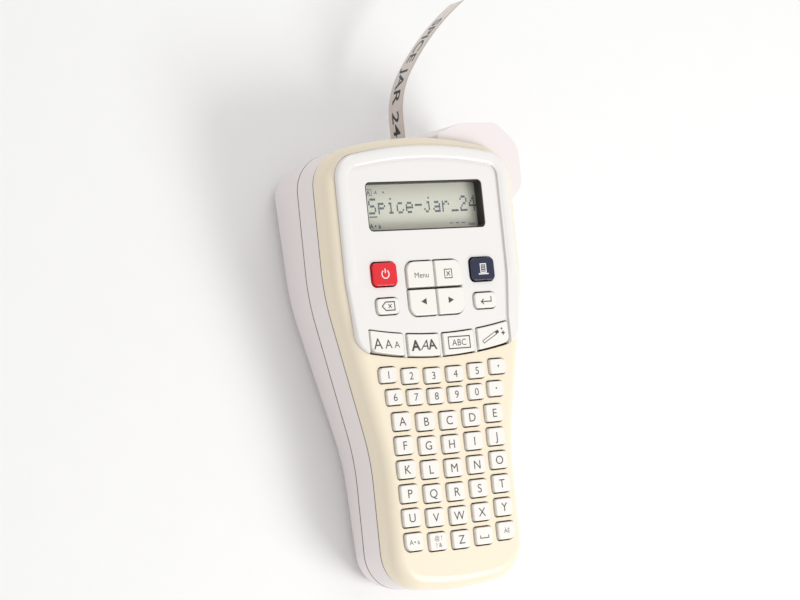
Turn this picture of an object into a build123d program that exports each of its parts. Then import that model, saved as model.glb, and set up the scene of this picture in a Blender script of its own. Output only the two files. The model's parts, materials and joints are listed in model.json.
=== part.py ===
from build123d import *
import math
import os

# A hand-held label maker. Every piece is drawn in the keypad's own frame: X to the right, Y towards the end
# where the label comes out, Z out of the key tops. The back is flat but not parallel to the keypad, so at the
# end each piece is tilted to lie on its back, with the origin on the rest plane under the housing's middle.

# ---------------------------------------------------------------- driving dimensions, in millimetres
LENGTH = 207.0
HEAD_HALF = 52.4
GRIP_HALF = 36.4
HEAD_STRAIGHT_END = 45.0
GRIP_STRAIGHT_START = -53.0
WAIST_RADIUS = 110.0
TOP_RADIUS = 170.0
BOTTOM_RADIUS = 150.0
CORNER_RADIUS = 18.0
WALL = 2.0

FACE_TILT = 5.36
DEPTH_AT_MIDDLE = 49.5
FACE_Z = -1.3
FRONT_SEAM_Z = -12.0
REAR_SEAM_Z = -27.0
SHOULDER_RADIUS = 6.0
BACK_EDGE_RADIUS = 9.0
REAR_DRAFT = 5.0
SEAM_GAP = 0.3
MID_INSET = 0.6
REAR_INSET = 0.7

PANEL_Z = -0.6
BEZEL_UNDERSIDE_Z = -2.9
RIM_Z = 0.7
BEZEL_HALF = 47.4
BEZEL_TOP = 99.1
BEZEL_BOTTOM = 1.6
BEZEL_SIDE_END = 38.0
BEZEL_FOOT_HALF = 44.2
BEZEL_TOP_RADIUS = 204.0
BEZEL_BOTTOM_RADIUS = 200.0
RIM_WIDTH = 6.3

LCD_WIDTH = 64.4
LCD_HEIGHT = 22.5
LCD_Y = 71.4
LCD_CORNER = 2.4

KEY_GAP = 0.35
KEY_TOP_Z = 0.2
FLANGE_TOP_Z = -3.5
FLANGE_THICKNESS = 0.9
PLUNGER_LENGTH = 1.6
PLUNGER_RADIUS = 1.6
CAP_DRAFT = 0.25

LETTER_PITCH_X = 12.7
LETTER_PITCH_Y = 10.84
LETTER_FIRST_Y = -27.4
LETTER_CAP = (9.7, 8.4)
LETTER_SMILE = 1.4
NUMBER_CAP_1 = (9.4, 7.3)
NUMBER_CAP_2 = (8.8, 7.3)
NUMBER_PITCH_1 = 12.1
NUMBER_PITCH_2 = 11.15
NUMBER_Y_1 = -6.6
NUMBER_Y_2 = -16.0
NUMBER_SMILE_1 = 1.9
NUMBER_SMILE_2 = 1.1

MAT_TOP_Z = -8.0
MAT_THICKNESS = 1.2
DOME_HEIGHT = 0.9
BOARD_TOP_Z = -9.7
BOARD_THICKNESS = 1.6

DECK_TOP_Z = -13.0
DECK_THICKNESS = 2.0
CHASSIS_TOP_Z = -23.0
CHASSIS_THICKNESS = 1.2

CASSETTE_X = (-43.0, 11.5)
CASSETTE_Y = (10.0, 92.0)
CASSETTE_TOP_Z = -24.6
CASSETTE_DEPTH = 17.0
CASSETTE_WALL = 1.2

TAPE_X = 9.85
TAPE_THICKNESS = 0.3
TAPE_WIDTH = 12.0
TAPE_Z = -32.5
TAPE_STRAIGHT_END = 115.5

GEAR_MODULE = 1.0
GEAR_TOP_Z = -17.2
GEAR_WIDTH = 4.5
PRESSURE_ANGLE = 20.0
BACKLASH = 0.2
PINION_TEETH = 10
DRIVE_TEETH = 27
PLATEN_TEETH = 18
RIBBON_TEETH = 17
MOTOR_XY = (34.0, 48.0)
PLATEN_XY = (15.3, 80.0)
PLATEN_RADIUS = 5.0
RIBBON_DIRECTION = 186.0
AXLE_RADIUS = 1.5
RUNNING_CLEARANCE = 0.05

LEVER_PIN_XY = (46.5, 76.0)
LEVER_TOP_Z = -9.2
LEVER_BOTTOM_Z = -41.0
LEVER_WALL = 2.0

CELL_RADIUS = 5.25
CELL_LENGTH = 44.5
CELL_PITCH = 10.95
CELL_Z = -32.0
CELL_FIRST_Y = -83.0
CELL_COUNT = 6

JACK_Y = 20.0
JACK_Z = -20.0

os.makedirs("parts", exist_ok=True)
FACE_TO_BENCH = Location((0, -1.1, DEPTH_AT_MIDDLE * math.cos(math.radians(FACE_TILT))), (FACE_TILT, 0, 0))


def save(node, shape):
    """Tilt a piece from the keypad's frame onto the bench and write it."""
    solids = ShapeList(shape.solids())
    placed = [solid.moved(FACE_TO_BENCH) for solid in solids]
    export_step(placed[0] if len(placed) == 1 else Compound(children=placed), f"parts/{node}.step")


def slab(sketch, low, high):
    """A flat sketch given thickness between two heights."""
    return extrude(Pos(0, 0, low) * sketch, amount=high - low)


def box_between(x, y, z):
    """A block from three (low, high) pairs."""
    return Pos(sum(x) / 2, sum(y) / 2, sum(z) / 2) * Box(x[1] - x[0], y[1] - y[0], z[1] - z[0])


def rod(x, y, low, high, radius):
    """An upright cylinder between two heights."""
    return Pos(x, y, (low + high) / 2) * Cylinder(radius, high - low)


# ---------------------------------------------------------------- plan outline
def waist_angle():
    """Slope of the straight part between the head and the grip, tangent to both waist arcs."""
    rise = HEAD_STRAIGHT_END - GRIP_STRAIGHT_START
    step = HEAD_HALF - GRIP_HALF
    reach = math.hypot(rise, 2 * WAIST_RADIUS - step)
    return math.atan2(rise, 2 * WAIST_RADIUS - step) - math.acos(2 * WAIST_RADIUS / reach)


def arc_side(sign, centre_x, centre_y, start, stop):
    """A waist arc between two angles, mirrored when sign is -1."""
    points = []
    for angle in (start, (start + stop) / 2, stop):
        x = centre_x + WAIST_RADIUS * math.cos(angle)
        points.append((sign * x, centre_y + WAIST_RADIUS * math.sin(angle)))
    return points


def plan_outline(inset=0.0):
    """The housing seen from the keypad side, as a face shrunk by inset."""
    slope = waist_angle()
    top_y = LENGTH / 2 - TOP_RADIUS + math.sqrt(TOP_RADIUS**2 - HEAD_HALF**2)
    bottom_y = -LENGTH / 2 + BOTTOM_RADIUS - math.sqrt(BOTTOM_RADIUS**2 - GRIP_HALF**2)
    edges = [
        ThreePointArc((-HEAD_HALF, top_y), (0, LENGTH / 2), (HEAD_HALF, top_y)),
        ThreePointArc((-GRIP_HALF, bottom_y), (0, -LENGTH / 2), (GRIP_HALF, bottom_y)),
    ]
    for sign in (1, -1):
        head = arc_side(sign, HEAD_HALF - WAIST_RADIUS, HEAD_STRAIGHT_END, 0, -slope)
        grip = arc_side(sign, GRIP_HALF + WAIST_RADIUS, GRIP_STRAIGHT_START, math.pi - slope, math.pi)
        edges.append(Line((sign * HEAD_HALF, top_y), head[0]))
        edges.append(ThreePointArc(*head))
        edges.append(Line(head[2], grip[0]))
        edges.append(ThreePointArc(*grip))
        edges.append(Line(grip[2], (sign * GRIP_HALF, bottom_y)))
    face = make_face(edges)
    corners = [v for v in face.vertices() if abs(abs(v.X) - HEAD_HALF) < 0.01 and abs(v.Y - top_y) < 0.01]
    corners += [v for v in face.vertices() if abs(abs(v.X) - GRIP_HALF) < 0.01 and abs(v.Y - bottom_y) < 0.01]
    face = fillet(corners, CORNER_RADIUS)
    if inset:
        face = offset(face, amount=-inset)
    return face


def edges_near(shape, z, tolerance=0.05):
    """The edges of a shape that lie wholly at one height."""
    found = ShapeList()
    for edge in shape.edges():
        box = edge.bounding_box()
        if abs(box.min.Z - z) < tolerance and abs(box.max.Z - z) < tolerance:
            found.append(edge)
    return found


def front_form(inset, top, shoulder):
    """The front cover's outer or inner form: straight walls and a rounded shoulder."""
    form = slab(plan_outline(inset), FRONT_SEAM_Z, top)
    return fillet(edges_near(form, top), shoulder)


def back_space(lift):
    """Everything on the keypad's side of the flat back, raised by lift."""
    drop = DEPTH_AT_MIDDLE - lift / math.cos(math.radians(FACE_TILT))
    block = Pos(0, 0, 200) * Box(400, 600, 400)
    return Pos(0, 0, -drop) * Rot(X=-FACE_TILT) * block


def rear_form(inset, lift, edge_radius):
    """The rear cover's outer or inner form: drafted walls cut by the flat back, with a rounded edge."""
    reach = 40.0
    narrow = REAR_INSET + inset + reach * math.tan(math.radians(REAR_DRAFT))
    wide_end = Pos(0, 0, REAR_SEAM_Z) * plan_outline(REAR_INSET + inset)
    tall = loft([wide_end, Pos(0, 0, REAR_SEAM_Z - reach) * plan_outline(narrow)], ruled=True)
    form = tall & back_space(lift)
    rim = ShapeList()
    for edge in form.edges():
        if edge.bounding_box().max.Z < REAR_SEAM_Z - 5:
            middle = edge @ 0.5
            drop = -(DEPTH_AT_MIDDLE - lift / math.cos(math.radians(FACE_TILT)))
            if abs(middle.Z - (drop - middle.Y * math.tan(math.radians(FACE_TILT)))) < 0.1:
                rim.append(edge)
    return fillet(rim, edge_radius)




# ---------------------------------------------------------------- bezel outlines
def bezel_outline(grow=0.0):
    """The display bezel seen from the keypad side, as a face made larger by grow."""
    top_y = BEZEL_TOP - BEZEL_TOP_RADIUS + math.sqrt(BEZEL_TOP_RADIUS**2 - BEZEL_HALF**2)
    foot_y = BEZEL_BOTTOM + BEZEL_BOTTOM_RADIUS - math.sqrt(BEZEL_BOTTOM_RADIUS**2 - BEZEL_FOOT_HALF**2)
    edges = [
        ThreePointArc((-BEZEL_HALF, top_y), (0, BEZEL_TOP), (BEZEL_HALF, top_y)),
        ThreePointArc((-BEZEL_FOOT_HALF, foot_y), (0, BEZEL_BOTTOM), (BEZEL_FOOT_HALF, foot_y)),
    ]
    for sign in (1, -1):
        edges.append(Line((sign * BEZEL_HALF, top_y), (sign * BEZEL_HALF, BEZEL_SIDE_END)))
        edges.append(Line((sign * BEZEL_HALF, BEZEL_SIDE_END), (sign * BEZEL_FOOT_HALF, foot_y)))
    face = make_face(edges)
    for y, radius in ((top_y, 12.0), (BEZEL_SIDE_END, 60.0), (foot_y, 10.0)):
        face = fillet([v for v in face.vertices() if abs(v.Y - y) < 0.01], radius)
    return offset(face, amount=grow) if grow else face


def arc_band(x, top, top_radius, bottom, bottom_radius, corner):
    """A cell between two upward-curving arcs, with its left and right ends at x."""
    def height(base, radius, at):
        return base + radius - math.sqrt(radius**2 - at**2)

    middle = (x[0] + x[1]) / 2
    upper = [(at, height(top, top_radius, at)) for at in (x[0], middle, x[1])]
    lower = [(at, height(bottom, bottom_radius, at)) for at in (x[0], middle, x[1])]
    edges = [
        ThreePointArc(*upper),
        ThreePointArc(*lower),
        Line(upper[0], lower[0]),
        Line(upper[2], lower[2]),
    ]
    face = make_face(edges)
    outer = max(face.vertices(), key=lambda v: abs(v.X) - v.Y)
    rest = [v for v in face.vertices() if v.center() != outer.center()]
    face = fillet([outer], corner[1]) if corner[1] > corner[0] else face
    rest = [v for v in face.vertices() if any((v.center() - r.center()).length < 0.01 for r in rest)]
    return fillet(rest, corner[0])


def rounded(width, height, radii):
    """A rectangle with its own radius at each corner: (left low, right low, right high, left high)."""
    face = make_face(Polyline(
        (-width / 2, -height / 2), (width / 2, -height / 2), (width / 2, height / 2), (-width / 2, height / 2),
        close=True,
    ))
    x, y = width / 2, height / 2
    corners = [(-x, -y), (x, -y), (x, y), (-x, y)]
    for corner, radius in zip(corners, radii):
        face = fillet([v for v in face.vertices() if math.dist((v.X, v.Y), corner) < 0.01], radius)
    return face


# ---------------------------------------------------------------- key and button layout
def row_centres(count, pitch, base, rise):
    """Centres of the keys of one row, whose outer keys sit higher than the middle ones."""
    places = []
    for i in range(count):
        x = (i - (count - 1) / 2) * pitch
        places.append((x, base + rise * (x / ((count - 1) / 2 * pitch)) ** 2))
    return places


KEY_CORNER = 1.3
BIG_CORNER = 3.2
ROWS = {
    "number_row_1": (row_centres(6, NUMBER_PITCH_1, NUMBER_Y_1, NUMBER_SMILE_1), NUMBER_CAP_1),
    "number_row_2": (row_centres(6, NUMBER_PITCH_2, NUMBER_Y_2, NUMBER_SMILE_2), NUMBER_CAP_2),
}
for letter_row in range(6):
    base_y = LETTER_FIRST_Y - letter_row * LETTER_PITCH_Y
    ROWS[f"letter_row_{letter_row + 1}"] = (row_centres(5, LETTER_PITCH_X, base_y, LETTER_SMILE), LETTER_CAP)

CORNER_KEYS = {
    ("number_row_1", 0): (KEY_CORNER, KEY_CORNER, KEY_CORNER, 2.2),
    ("number_row_1", 5): (KEY_CORNER, KEY_CORNER, 2.2, KEY_CORNER),
    ("letter_row_6", 0): (BIG_CORNER, KEY_CORNER, KEY_CORNER, KEY_CORNER),
    ("letter_row_6", 4): (KEY_CORNER, BIG_CORNER, KEY_CORNER, KEY_CORNER),
}

ROUND_BUTTON = (13.4, 11.1, 2.4)
SMALL_BUTTON = (12.4, 7.7, 2.2)
PAD_CENTRE_Y = 33.3
PAD_QUARTER = (15.0, 12.4)
PAD_GAP = 0.5
PAD_OUTER = 4.5
PAD_INNER = 0.7
PAD_SPLIT = 0.2


def pad_quarter(side, row):
    """One quarter of the four-way pad, with its large radius at the pad's outer corner."""
    radii = [PAD_INNER] * 4
    radii[{(-1, -1): 0, (1, -1): 1, (1, 1): 2, (-1, 1): 3}[(side, row)]] = PAD_OUTER
    x = side * (PAD_QUARTER[0] + PAD_GAP) / 2
    y = PAD_CENTRE_Y + row * (PAD_QUARTER[1] + PAD_GAP) / 2
    return Pos(x, y) * rounded(*PAD_QUARTER, radii)


def function_face(start, end, outer_corner):
    """One of the four function keys along the bezel's curved foot."""
    return arc_band((start, end), 12.5, 200.0, 1.95, 176.0, (0.9, outer_corner))


BUTTONS = {
    "power_button": (Pos(-27.0, 40.6) * rounded(*ROUND_BUTTON[:2], [ROUND_BUTTON[2]] * 4), 1.0),
    "print_button": (Pos(27.0, 40.6) * rounded(*ROUND_BUTTON[:2], [ROUND_BUTTON[2]] * 4), 1.0),
    "backspace_button": (Pos(-26.8, 26.1) * rounded(*SMALL_BUTTON[:2], [SMALL_BUTTON[2]] * 4), 0.7),
    "enter_button": (Pos(26.8, 26.1) * rounded(*SMALL_BUTTON[:2], [SMALL_BUTTON[2]] * 4), 0.7),
    "menu_button": (pad_quarter(-1, 1), 0.7),
    "clear_button": (pad_quarter(1, 1), 0.7),
    "left_arrow_button": (pad_quarter(-1, -1), 0.7),
    "right_arrow_button": (pad_quarter(1, -1), 0.7),
    "size_key": (function_face(-38.2, -20.2, 3.4), 0.5),
    "font_key": (function_face(-18.5, -0.85, 0.9), 0.5),
    "frame_key": (function_face(0.85, 18.5, 0.9), 0.5),
    "design_key": (function_face(20.2, 38.2, 3.4), 0.5),
}


def plunger(x, y):
    """The stem under a key that presses its dome."""
    low = FLANGE_TOP_Z - FLANGE_THICKNESS - PLUNGER_LENGTH
    return rod(x, y, low, FLANGE_TOP_Z - FLANGE_THICKNESS, PLUNGER_RADIUS)


def button(face, top):
    """A single button: drafted cap, flange and stem."""
    bottom = Pos(0, 0, FLANGE_TOP_Z) * face
    cap = loft([bottom, Pos(0, 0, top) * offset(face, amount=-CAP_DRAFT)], ruled=True)
    low = FLANGE_TOP_Z - FLANGE_THICKNESS
    flange = slab(offset(face, amount=KEY_GAP * 2), low, FLANGE_TOP_Z)
    centre = face.center()
    if abs(centre.X) < PAD_QUARTER[0] and abs(centre.Y - PAD_CENTRE_Y) < PAD_QUARTER[1]:
        x_span = (PAD_SPLIT, 30) if centre.X > 0 else (-30, -PAD_SPLIT)
        split_y = PAD_CENTRE_Y + (PAD_SPLIT if centre.Y > PAD_CENTRE_Y else -PAD_SPLIT)
        y_span = (split_y, 60) if centre.Y > PAD_CENTRE_Y else (0, split_y)
        flange = flange & box_between(x_span, y_span, (low, FLANGE_TOP_Z))
    return cap + flange + plunger(centre.X, centre.Y)


def key_row(name):
    """One row of small keys moulded as a strip: caps, flanges, stems and the webs between them."""
    centres, size = ROWS[name]
    flange_size = (size[0] + 4 * KEY_GAP, size[1] + 4 * KEY_GAP)
    low = FLANGE_TOP_Z - FLANGE_THICKNESS
    strip = None
    for i, (x, y) in enumerate(centres):
        radii = CORNER_KEYS.get((name, i), [KEY_CORNER] * 4)
        foot = rounded(*size, radii)
        crown = rounded(size[0] - 2 * CAP_DRAFT, size[1] - 2 * CAP_DRAFT, radii)
        cap = loft([Pos(x, y, FLANGE_TOP_Z) * foot, Pos(x, y, KEY_TOP_Z) * crown], ruled=True)
        piece = cap + slab(Pos(x, y) * Rectangle(*flange_size), low, FLANGE_TOP_Z) + plunger(x, y)
        if i:
            before = centres[i - 1]
            middle = (before[1] + y) / 2
            piece += box_between((before[0], x), (middle - 1, middle + 1), (low, FLANGE_TOP_Z))
        strip = piece if strip is None else strip + piece
    return strip



# ---------------------------------------------------------------- housing
FACE_THICKNESS = 1.8
LIP_GAP = 0.2
LIP_WIDTH = 1.2
LIP_HEIGHT = 2.4
BOSS_RADIUS = 2.4
SCREW_RADIUS = 1.05
SCREW_HEAD_RADIUS = 2.0
HOUSING_SCREWS = [(-47.4, 70.0), (47.4, 60.0), (-26.8, -92.6), (26.8, -92.6)]
CHASSIS_SCREWS = [(15.0, 38.0), (45.5, 37.0), (44.0, 67.5), (28.0, 84.9)]
POCKET_EDGE_Y = 88.5
TAPE_SLOT_X = (3.6, 13.6)


def lever_pocket(low, high):
    """The corner of the housing that is left open for the cutter lever and its swing."""
    outline = Polyline(
        (13.4, POCKET_EDGE_Y), (13.4, 125), (80, 125), (80, 71.0), (49.2, 71.0), (49.2, 81.0), (40, POCKET_EDGE_Y),
        close=True,
    )
    return slab(make_face(outline), low, high)


def front_cover():
    """Cream front shell with its bezel opening, key openings and screw bosses."""
    shell = front_form(0, FACE_Z, SHOULDER_RADIUS)
    shell -= front_form(WALL, FACE_Z - FACE_THICKNESS, SHOULDER_RADIUS - WALL)
    openings = [slab(bezel_outline(0.15), -6, 1)]
    for name, (centres, size) in ROWS.items():
        for i, (x, y) in enumerate(centres):
            radii = [radius + KEY_GAP for radius in CORNER_KEYS.get((name, i), [KEY_CORNER] * 4)]
            hole = rounded(size[0] + 2 * KEY_GAP, size[1] + 2 * KEY_GAP, radii)
            openings.append(slab(Pos(x, y) * hole, -6, 1))
    shell -= openings
    for x, y in HOUSING_SCREWS:
        top = -4.8 if y > 0 else FACE_Z - FACE_THICKNESS + 0.4
        boss = rod(x, y, DECK_TOP_Z + 0.1, top, BOSS_RADIUS)
        if y > 0:
            x_span = sorted((x, math.copysign(HEAD_HALF - 1, x)))
            boss += box_between(x_span, (y - 1.5, y + 1.5), (FRONT_SEAM_Z, top))
        shell += boss - rod(x, y, DECK_TOP_Z, top - 1.0, SCREW_RADIUS)
    return shell - lever_pocket(FRONT_SEAM_Z - 1, LEVER_TOP_Z + 0.5)


def mid_housing():
    """White middle ring with the deck that carries the mechanism, the cells and the jack."""
    low = REAR_SEAM_Z + 0.2
    body = slab(plan_outline(MID_INSET), low, FRONT_SEAM_Z - SEAM_GAP)
    body -= slab(plan_outline(MID_INSET + WALL), low, FRONT_SEAM_Z - SEAM_GAP)
    body += slab(plan_outline(MID_INSET + WALL / 2), DECK_TOP_Z - DECK_THICKNESS, DECK_TOP_Z)
    lip_top = DECK_TOP_Z + LIP_HEIGHT
    lip = slab(plan_outline(WALL + LIP_GAP), DECK_TOP_Z, lip_top)
    lip -= slab(plan_outline(WALL + LIP_GAP + LIP_WIDTH), DECK_TOP_Z, lip_top)
    for x, y in HOUSING_SCREWS:
        lip -= rod(x, y, DECK_TOP_Z, lip_top, BOSS_RADIUS + 0.4)
        if y > 0:
            lip -= box_between((x - 6, x + 6), (y - 2, y + 2), (DECK_TOP_Z, lip_top))
    body += lip
    body -= lever_pocket(-42, LEVER_TOP_Z + 0.5)
    under = DECK_TOP_Z - DECK_THICKNESS
    for x, y in CHASSIS_SCREWS:
        body += rod(x, y, CHASSIS_TOP_Z, under, 2.6) - rod(x, y, CHASSIS_TOP_Z, under, SCREW_RADIUS)
    for x, y in [(-36, 20), (-36, 84), (-14, 16)]:
        body += rod(x, y, CASSETTE_TOP_Z + 0.3, under, 3.0)
    body += battery_tray()
    for x, y in HOUSING_SCREWS:
        body -= rod(x, y, under - 0.5, DECK_TOP_Z + 0.5, SCREW_RADIUS + 0.35)
    body -= rod(*LEVER_PIN_XY, under - 1, DECK_TOP_Z + 1, AXLE_RADIUS + RUNNING_CLEARANCE)
    body -= box_between((2.8, 5.2), (73, 85), (under - 1, DECK_TOP_Z + 1))
    body -= box_between(TAPE_SLOT_X, (93, 110), (low - 1, TAPE_Z + TAPE_WIDTH / 2 + 0.5))
    body -= Pos(48, JACK_Y, JACK_Z) * Rot(Y=90) * Cylinder(3.3, 10)
    return body


def battery_tray():
    """Floor and walls under the deck that hold six cells lying across the grip."""
    floor_z = CELL_Z + CELL_RADIUS + 0.3
    first = CELL_FIRST_Y - CELL_RADIUS - 0.95
    last = CELL_FIRST_Y + (CELL_COUNT - 1) * CELL_PITCH + CELL_RADIUS + 0.95
    wall_x = CELL_LENGTH / 2 + 2.3
    under = DECK_TOP_Z - DECK_THICKNESS
    tray = box_between((-wall_x, wall_x), (first, last), (floor_z, floor_z + 1.5))
    for side in (-1, 1):
        ends = sorted((side * wall_x, side * (wall_x + 1.5)))
        tray += box_between(ends, (first, last), (CELL_Z - 1, under))
    for y in (first, last):
        tray += box_between((-wall_x - 1.5, wall_x + 1.5), (y - 0.7, y + 0.7), (CELL_Z - 1, floor_z + 1.5))
    return tray


def rear_cover():
    """White lift-off back with its draft, tape notch, lever opening and cassette ribs."""
    outer = rear_form(0, 0, BACK_EDGE_RADIUS)
    cover = outer - rear_form(WALL, WALL, BACK_EDGE_RADIUS - WALL)
    for x, y in [(-34, 24), (-34, 76), (-6, 24), (-6, 76)]:
        rib_top = CASSETTE_TOP_Z - CASSETTE_DEPTH - 0.6
        cover += box_between((x - 5, x + 5), (y - 0.6, y + 0.6), (-60, rib_top)) & outer
    cover -= lever_pocket(LEVER_BOTTOM_Z - 0.6, -20)
    cover -= box_between(TAPE_SLOT_X, (93, 110), (TAPE_Z - TAPE_WIDTH / 2 - 1.5, -20))
    return cover


# ---------------------------------------------------------------- bezel and display
def display_bezel():
    """Glossy white bezel: raised rim, sunk panel, display opening and button openings."""
    plate = slab(bezel_outline(), BEZEL_UNDERSIDE_Z, RIM_Z)
    plate = fillet(edges_near(plate, RIM_Z), 1.2)
    plate -= slab(bezel_outline(-RIM_WIDTH), PANEL_Z, RIM_Z + 1)
    foot = arc_band((-39.0, 39.0), 13.2, 200.0, 0.5, 176.0, (0.5, 0.5))
    plate -= slab(foot, PANEL_Z, RIM_Z + 1)
    flange_low = FACE_Z - FACE_THICKNESS - 1.4
    flange = slab(bezel_outline(), flange_low, BEZEL_UNDERSIDE_Z)
    flange -= slab(bezel_outline(-1.4), flange_low - 1, BEZEL_UNDERSIDE_Z)
    flange -= box_between((-40, 40), (-2, 18), (flange_low - 1, BEZEL_UNDERSIDE_Z))
    plate += flange
    window = Pos(0, LCD_Y) * rounded(LCD_WIDTH, LCD_HEIGHT, [LCD_CORNER] * 4)
    cuts = [slab(window, -6, 2)]
    for face, top in BUTTONS.values():
        cuts.append(slab(offset(face, amount=KEY_GAP), -4.6, 2))
    cuts.append(box_between((-1.5, 1.5), (PAD_CENTRE_Y - 1.5, PAD_CENTRE_Y + 1.5), (-4.6, 2)))
    for start, end in ((-38.5, -19.9), (-18.8, -0.55), (0.55, 18.8), (19.9, 38.5)):
        cuts.append(slab(arc_band((start, end), 4.0, 176.0, -3.0, 176.0, (0.2, 0.2)), -4.6, 2))
    return plate - cuts


FRAME_WALL = 0.6
FRAME_BASE = (70.0, 27.0)
POCKET_SIZE = (66.4, 24.4)


def lcd_frame():
    """Dark carrier: the sleeve that lines the display opening and the pocket for the glass."""
    frame = slab(Pos(0, LCD_Y) * Rectangle(*FRAME_BASE), -8.8, -5.0)
    sleeve = rounded(LCD_WIDTH - 0.2, LCD_HEIGHT - 0.2, [LCD_CORNER - 0.1] * 4)
    frame += slab(Pos(0, LCD_Y) * sleeve, -5.0, PANEL_Z - 0.3)
    view = rounded(LCD_WIDTH - 2 * FRAME_WALL, LCD_HEIGHT - 2 * FRAME_WALL, [LCD_CORNER - FRAME_WALL] * 4)
    frame -= slab(Pos(0, LCD_Y) * view, -9, 1)
    return frame - slab(Pos(0, LCD_Y) * Rectangle(*POCKET_SIZE), -9, -5.8)


def lcd_layer(low, high):
    """The clear window or the display panel, seated in the carrier's pocket."""
    return slab(Pos(0, LCD_Y) * Rectangle(POCKET_SIZE[0] - 0.4, POCKET_SIZE[1] - 0.4), low, high)


# ---------------------------------------------------------------- keypad mat and board
def key_centres():
    """The centre of every key and button."""
    places = []
    for centres, size in ROWS.values():
        places += centres
    for face, top in BUTTONS.values():
        places.append((face.center().X, face.center().Y))
    return places


def keypad_mat():
    """Rubber mat with a dome under each key."""
    mat = slab(plan_outline(7.0), MAT_TOP_Z - MAT_THICKNESS, MAT_TOP_Z)
    mat = mat & box_between((-60, 60), (-90, 49), (-20, 0))
    for x, y in HOUSING_SCREWS:
        mat -= rod(x, y, -20, 0, BOSS_RADIUS + 0.5)
    domes = []
    for x, y in key_centres():
        domes.append(Pos(x, y, MAT_TOP_Z + DOME_HEIGHT / 2) * Cone(3.0, 1.8, DOME_HEIGHT))
    return mat + domes


def main_board():
    """Circuit board that fills the front cover, cut clear of the bosses and the lever."""
    board = slab(plan_outline(4.6), BOARD_TOP_Z - BOARD_THICKNESS, BOARD_TOP_Z)
    for x, y in HOUSING_SCREWS:
        board -= rod(x, y, -20, 0, BOSS_RADIUS + 0.3)
    return board - lever_pocket(-20, -5)


# ---------------------------------------------------------------- gears
def gear(teeth, mesh_x, mesh_y, phase, low, high, bore):
    """A spur gear with involute flanks, one tooth centred at the angle phase."""
    pitch_r = teeth * GEAR_MODULE / 2
    base_r = pitch_r * math.cos(math.radians(PRESSURE_ANGLE))
    tip_r = pitch_r + GEAR_MODULE * 0.8
    root_r = pitch_r - GEAR_MODULE * 1.15
    half_pitch = math.pi / (2 * teeth) - BACKLASH / (2 * pitch_r)
    start_r = max(base_r, root_r)

    def involute(radius):
        turn = math.acos(min(1.0, base_r / radius))
        return math.tan(turn) - turn

    flank = []
    for radius in (start_r, (start_r + tip_r) / 2, tip_r):
        flank.append((radius, half_pitch + involute(pitch_r) - involute(radius)))
    if root_r < start_r:
        flank.insert(0, (root_r, flank[0][1] * 0.95))
    points = []
    for tooth in range(teeth):
        centre = phase + 2 * math.pi * tooth / teeth
        for radius, half in flank:
            points.append((radius * math.cos(centre - half), radius * math.sin(centre - half)))
        for radius, half in reversed(flank):
            points.append((radius * math.cos(centre + half), radius * math.sin(centre + half)))
    wheel = slab(make_face(Polyline(*points, close=True)), low, high)
    return Pos(mesh_x, mesh_y) * (wheel - rod(0, 0, low - 1, high + 1, bore))


def meshed(teeth, from_xy, from_phase, from_teeth, to_xy):
    """Phase of a gear at to_xy whose gaps meet the teeth of the gear at from_xy."""
    line = math.atan2(to_xy[1] - from_xy[1], to_xy[0] - from_xy[0])
    return line + math.pi - ((from_phase - line) * from_teeth + math.pi) / teeth


def drive_gear_centre():
    """Where the drive gear meshes with both the motor pinion and the platen gear."""
    to_motor = (DRIVE_TEETH + PINION_TEETH) * GEAR_MODULE / 2
    to_platen = (DRIVE_TEETH + PLATEN_TEETH) * GEAR_MODULE / 2
    dx = PLATEN_XY[0] - MOTOR_XY[0]
    dy = PLATEN_XY[1] - MOTOR_XY[1]
    span = math.hypot(dx, dy)
    along = (span**2 + to_motor**2 - to_platen**2) / (2 * span)
    across = math.sqrt(to_motor**2 - along**2)
    return (
        MOTOR_XY[0] + (dx * along - dy * across) / span,
        MOTOR_XY[1] + (dy * along + dx * across) / span,
    )


DRIVE_XY = drive_gear_centre()
RIBBON_REACH = (DRIVE_TEETH + RIBBON_TEETH) * GEAR_MODULE / 2
RIBBON_XY = (
    DRIVE_XY[0] + RIBBON_REACH * math.cos(math.radians(RIBBON_DIRECTION)),
    DRIVE_XY[1] + RIBBON_REACH * math.sin(math.radians(RIBBON_DIRECTION)),
)
GEAR_LOW_Z = GEAR_TOP_Z - GEAR_WIDTH
CHASSIS_LOW_Z = CHASSIS_TOP_Z - CHASSIS_THICKNESS
RIBBON_POST_RADIUS = 2.2


def chassis_plate():
    """Steel plate over the gears that carries the motor, the axles and the print head."""
    plate = box_between((-9, 48.7), (33.5, 87.5), (CHASSIS_LOW_Z, CHASSIS_TOP_Z))
    plate -= lever_pocket(-30, -20)
    holes = [(x, y, SCREW_RADIUS + 0.3) for x, y in CHASSIS_SCREWS]
    holes.append((*LEVER_PIN_XY, AXLE_RADIUS + RUNNING_CLEARANCE))
    holes.append((*PLATEN_XY, AXLE_RADIUS + RUNNING_CLEARANCE))
    holes.append((*RIBBON_XY, RIBBON_POST_RADIUS + RUNNING_CLEARANCE))
    holes.append((*DRIVE_XY, AXLE_RADIUS + 0.01))
    holes.append((*MOTOR_XY, 3.2))
    for x, y, radius in holes:
        plate -= rod(x, y, CHASSIS_LOW_Z - 1, CHASSIS_TOP_Z + 1, radius)
    return plate - box_between((2.8, 5.2), (73, 85), (CHASSIS_LOW_Z - 1, CHASSIS_TOP_Z + 1))


MOTOR_RADIUS = 11.5
MOTOR_LENGTH = 19.0
MOTOR_FLAT = 9.0


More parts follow.
